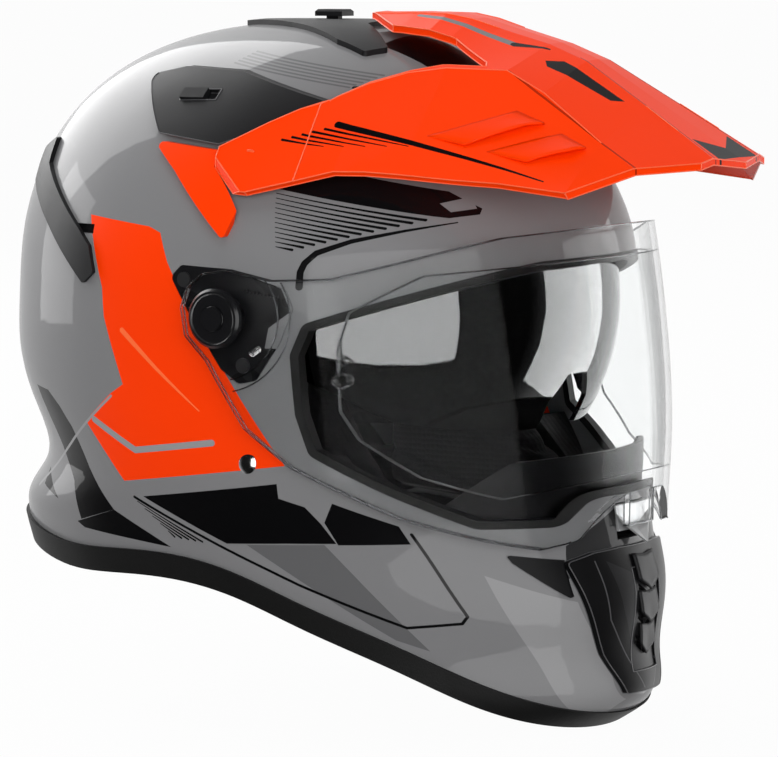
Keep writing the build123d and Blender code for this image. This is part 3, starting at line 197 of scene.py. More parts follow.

# Bevel moulded in the chin mask, painted lighter than the black as painted light, and a painted highlight
# along its ridge; in front view: distance from the middle and height in mm
BEVEL_HIGHLIGHT_MM = [(30.5, -105.5), (24.6, -131.0), (4.0, -162.5)]
BEVEL_HIGHLIGHT_WIDTHS = (0.6, 0.6)
LIT_BEVEL_MM = [
    [(24.8, -105.8), (17.4, -128.3), (10.5, -127.0), (11.5, -112.0)],
    [(17.4, -128.3), (9.0, -146.0), (8.0, -144.0), (10.5, -127.0)],
]

# Dark collar on the shell between the eye port and the chin mask, in the same view, and where it starts
COLLAR_MM = [[(0.0, -82.0), (12.9, -84.7), (40.2, -98.3), (42.0, -112.0), (0.0, -112.0)]]
COLLAR_BACK = 100 * MM

# Paint and plastic colours, linear
SHELL_GREY = (0.205, 0.205, 0.210, 1)
DEEP_GREY = (0.120, 0.120, 0.124, 1)
PALE_GREY = (0.290, 0.290, 0.295, 1)
PAINT_ORANGE = (1.000, 0.046, 0.000, 1)
# Painted highlight along a crease in the shell's orange
CREASE_HIGHLIGHT_ORANGE = (1.000, 0.160, 0.045, 1)
SEAM_ORANGE = (0.420, 0.018, 0.000, 1)
# Paler than the peak's orange: painted highlight on its rounded edges
EDGE_HIGHLIGHT_ORANGE = (1.000, 0.130, 0.040, 1)
PAINT_BLACK = (0.003, 0.003, 0.0035, 1)
VENT_BLACK = (0.011, 0.011, 0.012, 1)
KNOB_BLACK = (0.008, 0.008, 0.009, 1)
MASK_BLACK = (0.004, 0.004, 0.0045, 1)
COLLAR_GREY = (0.030, 0.030, 0.031, 1)
RUBBER_BLACK = (0.008, 0.008, 0.008, 1)
FOAM_BLACK = (0.006, 0.006, 0.007, 1)
FOAM_GREY = (0.014, 0.014, 0.015, 1)
LINING_GREY = (0.009, 0.009, 0.010, 1)
CURTAIN_BLACK = (0.008, 0.008, 0.009, 1)
WEBBING_BLACK = (0.012, 0.012, 0.013, 1)
WEBBING_RED = (0.420, 0.012, 0.012, 1)
THREAD_GREY = (0.110, 0.110, 0.115, 1)
SCREW_GREY = (0.022, 0.022, 0.023, 1)
STEEL = (0.620, 0.620, 0.630, 1)
SILVER = (0.480, 0.485, 0.490, 1)
# Grey of the wire mesh's wires; also painted highlights on the vents' edge beads and along the chin mask's
# bevel
VENT_GREY = (0.075, 0.075, 0.079, 1)
# Grey of the chin scales; also painted light on the chin mask's bevel
SCALE_GREY = (0.014, 0.014, 0.015, 1)
CLEAR_TINT = (0.985, 0.99, 0.99, 1)
EDGE_TINT = (0.25, 0.26, 0.27, 1)
LENS_EDGE_TINT = (0.02, 0.02, 0.022, 1)
LENS_EDGE_POWER = 5.5
SMOKED_TINT = (0.006, 0.006, 0.007, 1)

# Surfaces: grain in waves a metre and depth in metres, how far roughness wanders, specular levels and coats
PAINT_GRAIN = 600
PAINT_DEPTH = 0.01 * MM
PAINT_SPREAD = 0.06
PAINT_SPECULAR = 0.06
SHELL_ROUGHNESS = 0.42
PEAK_ROUGHNESS = 0.38
COAT_ROUGHNESS = 0.04
SHELL_COAT = 0.38
ORANGE_COAT_LOSS = 0.30
PEAK_COAT = 0.05
PLASTIC_GRAIN = 1800
PLASTIC_SPREAD = 0.12
PLATE_SURFACE = (0.28, 0.2, 0.02 * MM)
MASK_SURFACE = (0.36, 0.14, 0.03 * MM)
FINE_DETAIL = 3.0
BROAD_DETAIL = 2.0
BROAD_GRAIN = 38.0
RING_STEEPNESS = 3.5
RING_FLATNESS = 12
CELL_REACH = 1.4
CELL_DISORDER = 0.25
FOAM_CELLS = 260.0
FOAM_DEPTH = 0.5 * MM
FOAM_ROUGHNESS = 0.8
LINING_CELLS = 420.0
CURTAIN_CELLS = 900.0
KNIT_PATCHES = 30.0
KNIT_SHADE = 0.35
KNIT_DEPTH = 0.35 * MM
KNIT_ROUGHNESS = 0.92
KNIT_SPECULAR = 0.2
KNIT_SHEEN = 0.02
WEB_RIBS = {"Y": 210.0, "X": 160.0}
WEB_WANDER = 0.5
WEB_SHADE = 0.5
WEB_DEPTH = 0.25 * MM
WEB_ROUGHNESS = 0.7
MESH_WIRES = 150.0
MESH_HOLES = 0.72
MESH_DEPTH = 0.3 * MM
MESH_ROUGHNESS = 0.5
LENS_BLEND = 0.5

# Lenses: tint and refractive index
LENSES = {"clear_lens": (CLEAR_TINT, 1.08), "lens_edge": (EDGE_TINT, 1.5), "smoked_lens": (SMOKED_TINT, 2.1)}

# Moulded finishes: colour, roughness, specular level, grain's depth in mm and scale, metallic, and the pitch
# of turned rings in mm
MOULDED_FINISHES = {
    "vent_black": (VENT_BLACK, 0.44, 0.15, 0.04, PLASTIC_GRAIN, 0.0, 0.0),
    "chin_black": (MASK_BLACK, 0.36, 0.14, 0.04, PLASTIC_GRAIN, 0.0, 0.0),
    "chin_scale": (SCALE_GREY, 0.36, 0.14, 0.04, PLASTIC_GRAIN, 0.0, 0.0),
    "knob_black": (KNOB_BLACK, 0.28, 0.3, 0.02, PLASTIC_GRAIN, 0.0, 0.0),
    "knob_rings": (KNOB_BLACK, 0.24, 0.4, 0.02, PLASTIC_GRAIN, 0.0, 5.2),
    "screw_black": (SCREW_GREY, 0.30, 0.6, 0.04, PLASTIC_GRAIN, 0.0, 0.0),
    "rim_rubber": (RUBBER_BLACK, 0.55, 0.2, 0.08, 1200, 0.0, 0.0),
    "bright_steel": (STEEL, 0.18, 0.5, 0.01, PLASTIC_GRAIN, 1.0, 0.0),
    "silver_tab": (SILVER, 0.30, 0.5, 0.04, PLASTIC_GRAIN, 0.5, 0.0),
    "thread": (THREAD_GREY, 0.8, 0.5, 0.04, PLASTIC_GRAIN, 0.0, 0.0),
    # Paler bead colours: painted highlights on the rounded edges of the peak and the vents
    "peak_edge_highlight": (EDGE_HIGHLIGHT_ORANGE, 0.3, 0.5, 0.01, PLASTIC_GRAIN, 0.0, 0.0),
    "vent_edge_highlight": (VENT_GREY, 0.35, 0.5, 0.01, PLASTIC_GRAIN, 0.0, 0.0),
}

# Painted figures on the shell's side, as shares: forward of the centre over the front reach, height over
# the crown. Each outline is convex; a larger figure is several of them.
ORANGE_SHARES = [
    [(-0.38, 0.33), (-0.13, 0.30), (-0.085, 0.28), (-0.045, 0.18), (-0.295, 0.08)],
    [(-0.295, 0.08), (-0.285, -0.02), (-0.255, -0.12), (-0.21, -0.255), (0.345, -0.51), (-0.045, 0.18)],
    [(-0.26, -0.29), (-0.38, -0.40), (-0.225, -0.60), (0.345, -0.51), (-0.21, -0.255)],
]
DEEP_GREY_SHARES = [[(0.19, -0.80), (0.43, -0.79), (0.69, -1.17), (0.60, -1.13)]]
# A painted highlight on the chin, in pale grey
CHIN_HIGHLIGHT_SHARES = [[(0.84, -0.90), (1.04, -1.01), (1.11, -1.38), (1.03, -1.46)]]
BLACK_SHARES = [
    [(-0.155, -0.65), (0.315, -0.575), (0.315, -0.79), (0.125, -0.80)],
    [(0.31, -0.625), (0.39, -0.655), (0.43, -0.715), (0.465, -0.785), (0.31, -0.79)],
    [(0.44, -0.71), (0.47, -0.64), (0.64, -0.72), (0.665, -0.785), (0.47, -0.79)],
    [(-0.66, -0.30), (-0.58, -0.31), (-0.52, -0.36), (-0.53, -0.52), (-0.60, -0.41)],
    [(-0.52, -0.36), (-0.46, -0.43), (-0.38, -0.57), (-0.46, -0.62), (-0.53, -0.52)],
    [(-0.38, -0.57), (-0.28, -0.71), (-0.43, -0.76), (-0.46, -0.62)],
    [(-0.63, -0.60), (-0.54, -0.70), (-0.64, -0.66)],
    [(-0.45, -0.77), (-0.28, -0.71), (-0.08, -0.83), (-0.42, -0.79)],
    [(0.28, 0.44), (0.44, 0.50), (0.72, 0.43), (0.69, 0.35)],
    [(0.69, 0.35), (0.72, 0.43), (0.80, 0.37), (0.80, 0.35), (0.74, 0.34)],
]
BROW_GAP_SHARES = [[(0.71, 0.39), (0.77, 0.41), (0.79, 0.37), (0.74, 0.36)]]

# Painted lines: places in the same shares, and the width in mm at the start and at the end
CHEVRON_LINE = ([(-0.34, -0.39), (-0.17, -0.485), (0.115, -0.44)], 2.8, 2.8)
# A painted highlight along a crease in the orange, narrowing towards its end
CREASE_HIGHLIGHT_LINE = ([(-0.21, -0.065), (-0.08, -0.19), (0.075, -0.33)], 2.4, 0.6)
REAR_LINE = ([(-0.26, -0.30), (-0.68, -0.67)], 1.2, 1.2)
DARK_LINES = [
    ([(-0.19, -0.655), (0.24, -0.885), (0.34, -0.94), (0.635, -1.085), (0.78, -1.07), (0.795, -1.045),
      (0.67, -0.75)], 1.2, 1.2),
    ([(0.39, 0.11), (0.39, 0.16), (0.40, 0.19), (0.43, 0.225), (0.52, 0.265), (0.65, 0.30), (0.76, 0.325)],
     3.0, 0.5),
    ([(0.36, 0.78), (0.45, 0.78)], 1.0, 0.4),
]

# Hatches: the first and the last line of each, the number of lines and their width in mm at both ends
BROW_HATCH = ([(0.28, 0.425), (0.69, 0.335)], [(0.31, 0.245), (0.36, 0.235)], 12, 0.3, 1.1)
LOWER_HATCH = ([(-0.18, -0.67), (0.04, -0.80)], [(-0.08, -0.77), (-0.06, -0.79)], 5, 0.4, 0.9)
DOME_HATCH = ([(-0.04, 0.90), (0.41, 0.82)], [(-0.08, 0.86), (0.35, 0.78)], 6, 0.6, 0.6)
PEAK_HATCH = ([(0.275, 0.607), (0.413, 0.587)], [(0.399, 0.645), (0.647, 0.589)], 5, 1.0, 0.3)

# Painted figures on the peak: side lines as above; in plan, forward share and distance from the middle over
# the shell's half width
PEAK_SIDE_LINE = ([(0.43, 0.66), (1.095, 0.48)], 2.5, 0.4)
PEAK_SEAM_LINE = ([(0.83, 0.374), (1.31, 0.464)], 0.9, 0.9)
PEAK_PANEL_LINE = ([(0.935, 0.08), (1.434, 0.16)], 0.9, 0.9)
PEAK_RIDGE_LINE = ([(0.384, 0.126), (0.746, 0.165)], 2.0, 4.0)
PEAK_RIDGE_END = ([(0.746, 0.165), (0.841, 0.118)], 4.0, 1.5)
PEAK_BLACK_SHARES = [
    [(1.34, 0.13), (1.395, 0.0), (1.44, 0.0), (1.44, 0.14)],
    [(0.87, 0.20), (0.91, 0.15), (1.13, 0.17), (1.10, 0.21), (0.89, 0.23)],
]
# The shell under the peak's window, in plan, painted black above a height
WINDOW_SHARES = [[(0.31, -0.01), (0.31, 0.25), (0.91, 0.25), (0.91, -0.01)]]
WINDOW_FLOOR = 60 * MM


def side_points(shares):
    """Points of a side figure, forward and up, from its shares."""
    return [(CENTRE_X + u * FRONT_REACH, w * CROWN) for u, w in shares]


def plan_points(shares):
    """Points of a plan figure, forward and outwards, from its shares."""
    return [(CENTRE_X + u * FRONT_REACH, v * SHELL_HALF) for u, v in shares]


def mm_points(places):
    """Points of a figure in side or front view, across and up, from places in mm."""
    return [(across * MM, up * MM) for across, up in places]


# Shader helpers

def material(name):
    """A new node material and its Principled shader."""
    made = bpy.data.materials.new(name)
    made.use_nodes = True
    shader = made.node_tree.nodes["Principled BSDF"]
    return made, made.node_tree, shader


def join(tree, value, socket):
    """Links a socket to an input, or sets the input to a plain value."""
    if hasattr(value, "is_linked"):
        tree.links.new(value, socket)
    else:
        socket.default_value = value


def node(tree, kind, **values):
    """A new node with its settings and input values."""
    made = tree.nodes.new(kind)
    for key, value in values.items():
        if hasattr(made, key):
            setattr(made, key, value)
        else:
            join(tree, value, made.inputs[key.replace("_", " ")])
    return made


def math_node(tree, operation, first, second=0.0, third=0.0, clamp=False):
    """The result of a sum on values or sockets."""
    made = node(tree, "ShaderNodeMath", operation=operation, use_clamp=clamp)
    for value, socket in zip((first, second, third), made.inputs):
        join(tree, value, socket)
    return made.outputs[0]


def vector_node(tree, operation, first, second=(0, 0, 0), output="Vector"):
    """The result of a vector sum on values or sockets."""
    made = node(tree, "ShaderNodeVectorMath", operation=operation)
    join(tree, first, made.inputs[0])
    join(tree, second, made.inputs[1])
    return made.outputs[output]


def new_group(name, inputs, outputs, kind="ShaderNodeTree"):
    """An empty node group with named sockets, and its inlet and outlet."""
    group = bpy.data.node_groups.new(name, kind)
    for way, sockets in (("INPUT", inputs), ("OUTPUT", outputs)):
        for label, socket_kind in sockets:
            group.interface.new_socket(label, in_out=way, socket_type="NodeSocket" + socket_kind)
    return group, group.nodes.new("NodeGroupInput"), group.nodes.new("NodeGroupOutput")


def add_group(tree, group, **values):
    """A group placed in a material, with its inputs given."""
    made = tree.nodes.new("ShaderNodeGroup")
    made.node_tree = group
    for key, value in values.items():
        join(tree, value, made.inputs[key.replace("_", " ").title()])
    return made


def object_place(tree):
    """The Object coordinates' socket."""
    return tree.nodes.new("ShaderNodeTexCoord").outputs["Object"]


def side_view(tree, place):
    """Object coordinates seen from the side: forward, up, 0."""
    axes = node(tree, "ShaderNodeSeparateXYZ", Vector=place)
    return node(tree, "ShaderNodeCombineXYZ", X=axes.outputs["X"], Y=axes.outputs["Z"]).outputs[0]


def plan_view(tree, place):
    """Object coordinates seen from above, alike on both sides: forward, outwards, 0."""
    axes = node(tree, "ShaderNodeSeparateXYZ", Vector=place)
    out = math_node(tree, "ABSOLUTE", axes.outputs["Y"])
    return node(tree, "ShaderNodeCombineXYZ", X=axes.outputs["X"], Y=out).outputs[0]


def front_view(tree, place):
    """Object coordinates seen from the front, alike on both sides: outwards, up, 0."""
    axes = node(tree, "ShaderNodeSeparateXYZ", Vector=place)
    out = math_node(tree, "ABSOLUTE", axes.outputs["Y"])
    return node(tree, "ShaderNodeCombineXYZ", X=out, Y=axes.outputs["Z"]).outputs[0]


def mix_colour(tree, mask, under, over):
    """One colour over another where the mask is 1."""
    made = node(tree, "ShaderNodeMix", data_type="RGBA")
    join(tree, mask, made.inputs[0])
    join(tree, under, made.inputs[6])
    join(tree, over, made.inputs[7])
    return made.outputs[2]


def line_group():
    """A node group: 1 within half a line's width of the run between two places, 0 outside it."""
    group, inlet, outlet = new_group("painted_line", [
        ("Place", "Vector"), ("Start", "Vector"), ("End", "Vector"), ("Start Half", "Float"),
        ("End Half", "Float")], [("Mask", "Float")])
    run = vector_node(group, "SUBTRACT", inlet.outputs["End"], inlet.outputs["Start"])
    reach = vector_node(group, "SUBTRACT", inlet.outputs["Place"], inlet.outputs["Start"])
    along = vector_node(group, "DOT_PRODUCT", reach, run, "Value")
    whole = vector_node(group, "DOT_PRODUCT", run, run, "Value")
    share = math_node(group, "DIVIDE", along, whole, clamp=True)
    step = node(group, "ShaderNodeVectorMath", operation="SCALE")
    group.links.new(run, step.inputs[0])
    group.links.new(share, step.inputs["Scale"])
    away = vector_node(group, "DISTANCE", reach, step.outputs["Vector"], "Value")
    growth = math_node(group, "SUBTRACT", inlet.outputs["End Half"], inlet.outputs["Start Half"])
    half = math_node(group, "MULTIPLY_ADD", share, growth, inlet.outputs["Start Half"])
    group.links.new(math_node(group, "LESS_THAN", away, half), outlet.inputs["Mask"])
    return group


LINE = line_group()


def line_mask(tree, flat, points, start_width, end_width, mask=None):
    """1 on a line through the points, whose width in mm changes from its start to its end."""
    runs = [math.dist(a, b) for a, b in zip(points, points[1:])]
    gone = 0
    for (start, end), run in zip(zip(points, points[1:]), runs):
        halves = [(start_width + (end_width - start_width) * way / sum(runs)) * MM / 2
                  for way in (gone, gone + run)]
        gone += run
        part = add_group(tree, LINE, place=flat, start=(*start, 0), end=(*end, 0), start_half=halves[0],
                         end_half=halves[1]).outputs["Mask"]
        mask = part if mask is None else math_node(tree, "MAXIMUM", mask, part)
    return mask


def painted_line(tree, flat, line, places=side_points, mask=None):
    """1 on a line given as its places and its widths at both ends."""
    points, start, end = line
    return line_mask(tree, flat, places(points), start, end, mask)


def hatch_mask(tree, flat, first, last, count, start_width, end_width, mask=None):
    """1 on a row of lines that go over from the first to the last."""
    for index in range(count):
        share = index / (count - 1)
        points = [tuple(a + (b - a) * share for a, b in zip(p, q)) for p, q in zip(first, last)]
        mask = line_mask(tree, flat, side_points(points), start_width, end_width, mask)
    return mask


def patch_mask(tree, flat, corners):
    """1 inside a convex outline, 0 outside it."""
    pairs = list(zip(corners, corners[1:] + corners[:1]))
    area = sum(a[0] * b[1] - b[0] * a[1] for a, b in pairs)
    turn = 1 if area > 0 else -1
    inside = None
    for start, end in pairs:
        across = Vector((start[1] - end[1], end[0] - start[0], 0)).normalized() * turn
        depth = vector_node(tree, "DOT_PRODUCT", flat, across, "Value")
        depth = math_node(tree, "SUBTRACT", depth, across.x * start[0] + across.y * start[1])
        inside = depth if inside is None else math_node(tree, "MINIMUM", inside, depth)
    return math_node(tree, "GREATER_THAN", inside, 0.0)


def figure_mask(tree, flat, outlines, points=side_points):
    """1 inside any of the outlines, given as shares or in mm."""
    mask = None
    for shares in outlines:
        part = patch_mask(tree, flat, points(shares))
        mask = part if mask is None else math_node(tree, "MAXIMUM", mask, part)
    return mask


def grain_group():
    """A node group: fine bumps and small changes of roughness, for moulded and painted surfaces."""
    group, inlet, outlet = new_group("surface_grain", [
        ("Place", "Vector"), ("Scale", "Float"), ("Roughness", "Float"), ("Spread", "Float")],
        [("Height", "Float"), ("Rough", "Float")])
    fine = node(group, "ShaderNodeTexNoise", Vector=inlet.outputs["Place"], Scale=inlet.outputs["Scale"],
                Detail=FINE_DETAIL)
    broad = node(group, "ShaderNodeTexNoise", Vector=inlet.outputs["Place"], Scale=BROAD_GRAIN,
                 Detail=BROAD_DETAIL)
    centred = math_node(group, "SUBTRACT", broad.outputs["Fac"], 0.5)
    rough = math_node(group, "MULTIPLY_ADD", centred, inlet.outputs["Spread"], inlet.outputs["Roughness"],
                      clamp=True)
    group.links.new(fine.outputs["Fac"], outlet.inputs["Height"])
    group.links.new(rough, outlet.inputs["Rough"])
    return group


def ring_group():
    """A node group: narrow grooves in rings round the visor's pivot, in a surface as high as 1."""
    group, inlet, outlet = new_group("turned_rings", [("Place", "Vector"), ("Pitch", "Float")],
                                     [("Height", "Float")])
    flat = side_view(group, inlet.outputs["Place"])
    radius = vector_node(group, "DISTANCE", flat, (PIVOT_X, 0, 0), "Value")
    turns = math_node(group, "DIVIDE", radius, inlet.outputs["Pitch"])
    wave = math_node(group, "SINE", math_node(group, "MULTIPLY", turns, math.pi))
    height = math_node(group, "MULTIPLY", math_node(group, "ABSOLUTE", wave), RING_STEEPNESS, clamp=True)
    group.links.new(height, outlet.inputs["Height"])
    return group


def cell_group():
    """A node group: round dimples side by side, from 0 at their middles to 1 between them."""
    group, inlet, outlet = new_group("cloth_cells", [("Place", "Vector"), ("Scale", "Float")],
                                     [("Height", "Float")])
    cells = node(group, "ShaderNodeTexVoronoi", Vector=inlet.outputs["Place"], Scale=inlet.outputs["Scale"],
                 Randomness=CELL_DISORDER)
    height = math_node(group, "MULTIPLY", cells.outputs["Distance"], CELL_REACH, clamp=True)
    group.links.new(height, outlet.inputs["Height"])
    return group


GRAIN = grain_group()
RINGS = ring_group()
CELLS = cell_group()


def add_bump(tree, shader, height, depth, under=None):
    """A bump of a given depth on a shader."""
    bump = node(tree, "ShaderNodeBump", Strength=1.0, Distance=depth, Height=height)
    if under is not None:
        tree.links.new(under, bump.inputs["Normal"])
    tree.links.new(bump.outputs["Normal"], shader.inputs["Normal"])
    return bump.outputs["Normal"]


def add_grain(tree, shader, place, scale, depth, roughness, spread):
    """Fine bumps and uneven gloss on a material."""
    grain = add_group(tree, GRAIN, place=place, scale=scale, roughness=roughness, spread=spread)
    tree.links.new(grain.outputs["Rough"], shader.inputs["Roughness"])
    return add_bump(tree, shader, grain.outputs["Height"], depth)


def plastic(name, colour, surface):
    """A black plastic whose colour changes over it. Surface: roughness, specular level, grain's depth."""
    made, tree, shader = material(name)
    place = object_place(tree)
    roughness, gloss, depth = surface
    tree.links.new(colour(tree, place), shader.inputs["Base Color"])
    shader.inputs["Specular IOR Level"].default_value = gloss
    add_grain(tree, shader, place, PLASTIC_GRAIN, depth, roughness, PLASTIC_SPREAD)
    return made


def moulded(name, colour, roughness, gloss, depth, scale, metallic, rings):
    """A moulded finish in one colour, with turned rings where it has a pitch for them."""
    made, tree, shader = material(name)
    place = object_place(tree)
    shader.inputs["Base Color"].default_value = colour
    shader.inputs["Metallic"].default_value = metallic
    shader.inputs["Specular IOR Level"].default_value = gloss
    normal = add_grain(tree, shader, place, scale, depth * MM, roughness, PLASTIC_SPREAD)
    if rings:
        height = add_group(tree, RINGS, place=place, pitch=rings * MM).outputs["Height"]
        add_bump(tree, shader, height, rings * MM / RING_FLATNESS, normal)
    return made


def lacquer(tree, shader, place, colour, roughness, gloss):
    """Clear lacquer over painted colour."""
    tree.links.new(colour, shader.inputs["Base Color"])
    shader.inputs["Specular IOR Level"].default_value = PAINT_SPECULAR
    join(tree, gloss, shader.inputs["Coat Weight"])
    shader.inputs["Coat Roughness"].default_value = COAT_ROUGHNESS
    add_grain(tree, shader, place, PAINT_GRAIN, PAINT_DEPTH, roughness, PAINT_SPREAD)


def shell_paint():
    """Grey shell paint with its orange, grey and black figures, black under the peak's window, and painted
    highlights on the chin and a crease.
    """
    made, tree, shader = material("shell_paint")
    place = object_place(tree)
    flat = side_view(tree, place)
    colour = mix_colour(tree, figure_mask(tree, flat, DEEP_GREY_SHARES), SHELL_GREY, DEEP_GREY)
    # Painted highlight on the chin
    colour = mix_colour(tree, figure_mask(tree, flat, CHIN_HIGHLIGHT_SHARES), colour, PALE_GREY)
    colour = mix_colour(tree, hatch_mask(tree, flat, *DOME_HATCH), colour, DEEP_GREY)
    orange = figure_mask(tree, flat, ORANGE_SHARES)
    colour = mix_colour(tree, orange, colour, PAINT_ORANGE)
    colour = mix_colour(tree, painted_line(tree, flat, CHEVRON_LINE), colour, PALE_GREY)
    # Painted highlight along the crease
    colour = mix_colour(tree, painted_line(tree, flat, CREASE_HIGHLIGHT_LINE), colour, CREASE_HIGHLIGHT_ORANGE)
    black = figure_mask(tree, flat, BLACK_SHARES)
    for line in DARK_LINES:
        black = painted_line(tree, flat, line, mask=black)
    black = hatch_mask(tree, flat, *BROW_HATCH, mask=black)
    black = hatch_mask(tree, flat, *LOWER_HATCH, mask=black)
    colour = mix_colour(tree, black, colour, PAINT_BLACK)
    colour = mix_colour(tree, painted_line(tree, flat, REAR_LINE), colour, PALE_GREY)
    colour = mix_colour(tree, figure_mask(tree, flat, BROW_GAP_SHARES), colour, SHELL_GREY)
    axes = node(tree, "ShaderNodeSeparateXYZ", Vector=place)
    ahead = math_node(tree, "GREATER_THAN", axes.outputs["X"], COLLAR_BACK)
    collar = figure_mask(tree, front_view(tree, place), COLLAR_MM, mm_points)
    colour = mix_colour(tree, math_node(tree, "MULTIPLY", collar, ahead), colour, COLLAR_GREY)
    high = math_node(tree, "GREATER_THAN", axes.outputs["Z"], WINDOW_FLOOR)
    window = figure_mask(tree, plan_view(tree, place), WINDOW_SHARES, plan_points)
    colour = mix_colour(tree, math_node(tree, "MULTIPLY", window, high), colour, PAINT_BLACK)
    coat = math_node(tree, "MULTIPLY_ADD", orange, -ORANGE_COAT_LOSS, SHELL_COAT)
    lacquer(tree, shader, place, colour, SHELL_ROUGHNESS, coat)
    return made


def peak_paint():
    """Orange lacquer of the peak and its brackets, with their grey and black figures."""
    made, tree, shader = material("peak_paint")
    place = object_place(tree)
    flat = side_view(tree, place)
    plan = plan_view(tree, place)
    seams = painted_line(tree, plan, PEAK_SEAM_LINE, plan_points)
    seams = painted_line(tree, plan, PEAK_PANEL_LINE, plan_points, seams)
    colour = mix_colour(tree, seams, PAINT_ORANGE, SEAM_ORANGE)
    ridge = painted_line(tree, plan, PEAK_RIDGE_LINE, plan_points)
    colour = mix_colour(tree, ridge, colour, SHELL_GREY)
    black = figure_mask(tree, plan, PEAK_BLACK_SHARES, plan_points)
    black = painted_line(tree, plan, PEAK_RIDGE_END, plan_points, black)
    black = painted_line(tree, flat, PEAK_SIDE_LINE, mask=black)
    black = hatch_mask(tree, flat, *PEAK_HATCH, mask=black)
    colour = mix_colour(tree, black, colour, PAINT_BLACK)
    lacquer(tree, shader, place, colour, PEAK_ROUGHNESS, PEAK_COAT)
    return made


def plate_colour(tree, place):
    """The pivot plate's colour: black, and the shell's grey ahead of the mechanism."""
    mask = figure_mask(tree, side_view(tree, place), PLATE_GREY_MM, mm_points)
    return mix_colour(tree, mask, KNOB_BLACK, SHELL_GREY)


def mask_colour(tree, place):
    """The chin mask's colour: black, with painted light on its bevel and a painted highlight along the
    bevel's ridge.
    """
    flat = front_view(tree, place)
    # Painted light on the bevel's facet, then a painted highlight along its ridge
    colour = mix_colour(tree, figure_mask(tree, flat, LIT_BEVEL_MM, mm_points), MASK_BLACK, SCALE_GREY)
    edge = line_mask(tree, flat, mm_points(BEVEL_HIGHLIGHT_MM), *BEVEL_HIGHLIGHT_WIDTHS)
    return mix_colour(tree, edge, colour, VENT_GREY)


def lens(name, tint, index):
    """Clear or smoked polycarbonate, whose refractive index sets how strongly it mirrors."""
    made, tree, shader = material(name)
    facing = node(tree, "ShaderNodeLayerWeight", Blend=LENS_BLEND).outputs["Facing"]
    edge = math_node(tree, "POWER", facing, LENS_EDGE_POWER)
    tree.links.new(mix_colour(tree, edge, tint, LENS_EDGE_TINT), shader.inputs["Base Color"])
    shader.inputs["Transmission Weight"].default_value = 1.0
    shader.inputs["IOR"].default_value = index
    shader.inputs["Roughness"].default_value = 0.0
    return made


def foam():
    """Expanded foam: beads pressed together."""
    made, tree, shader = material("bead_foam")
    beads = add_group(tree, CELLS, place=object_place(tree), scale=FOAM_CELLS).outputs["Height"]
    tree.links.new(mix_colour(tree, beads, FOAM_GREY, FOAM_BLACK), shader.inputs["Base Color"])
    add_bump(tree, shader, math_node(tree, "SUBTRACT", 1.0, beads), FOAM_DEPTH)
    shader.inputs["Roughness"].default_value = FOAM_ROUGHNESS
    return made


def shaded(colour, share):
    """A darker colour, at a share of another."""
    return tuple(share * part for part in colour[:3]) + (1,)


def ribs(tree, place, axis, scale, wander=0.0):
    """Waves along one axis."""
    wave = node(tree, "ShaderNodeTexWave", Vector=place, Scale=scale, Distortion=wander, bands_direction=axis)
    return wave.outputs["Fac"]


def knit(name, colour, scale):
    """Spacer knit: rows of small open dimples with a soft bloom."""
    made, tree, shader = material(name)
    place = object_place(tree)
    cells = add_group(tree, CELLS, place=place, scale=scale).outputs["Height"]
    broad = node(tree, "ShaderNodeTexNoise", Vector=place, Scale=KNIT_PATCHES).outputs["Fac"]
    deep = shaded(colour, KNIT_SHADE)
    shade = mix_colour(tree, math_node(tree, "MULTIPLY", cells, broad, clamp=True), deep, colour)
    tree.links.new(mix_colour(tree, cells, deep, shade), shader.inputs["Base Color"])
    add_bump(tree, shader, cells, KNIT_DEPTH)
    shader.inputs["Roughness"].default_value = KNIT_ROUGHNESS
    shader.inputs["Specular IOR Level"].default_value = KNIT_SPECULAR
    shader.inputs["Sheen Weight"].default_value = KNIT_SHEEN
    return made


def webbing(name, colour):
    """Woven strap: crossing ribs."""
    made, tree, shader = material(name)
    place = object_place(tree)
    lengths, across = [ribs(tree, place, axis, scale, WEB_WANDER) for axis, scale in WEB_RIBS.items()]
    weave = math_node(tree, "MULTIPLY", lengths, across)
    shade = mix_colour(tree, weave, shaded(colour, WEB_SHADE), colour)
    tree.links.new(shade, shader.inputs["Base Color"])
    add_bump(tree, shader, weave, WEB_DEPTH)
    shader.inputs["Roughness"].default_value = WEB_ROUGHNESS
    return made


def wire_mesh():
    """Fine woven mesh over a dark duct."""
    made, tree, shader = material("wire_mesh")
    place = object_place(tree)
    wires = math_node(tree, "MAXIMUM", *[ribs(tree, place, axis, MESH_WIRES) for axis in "ZY"])
    mask = math_node(tree, "GREATER_THAN", wires, MESH_HOLES)
    tree.links.new(mix_colour(tree, mask, PAINT_BLACK, VENT_GREY), shader.inputs["Base Color"])
    add_bump(tree, shader, wires, MESH_DEPTH)
    shader.inputs["Roughness"].default_value = MESH_ROUGHNESS
    return made


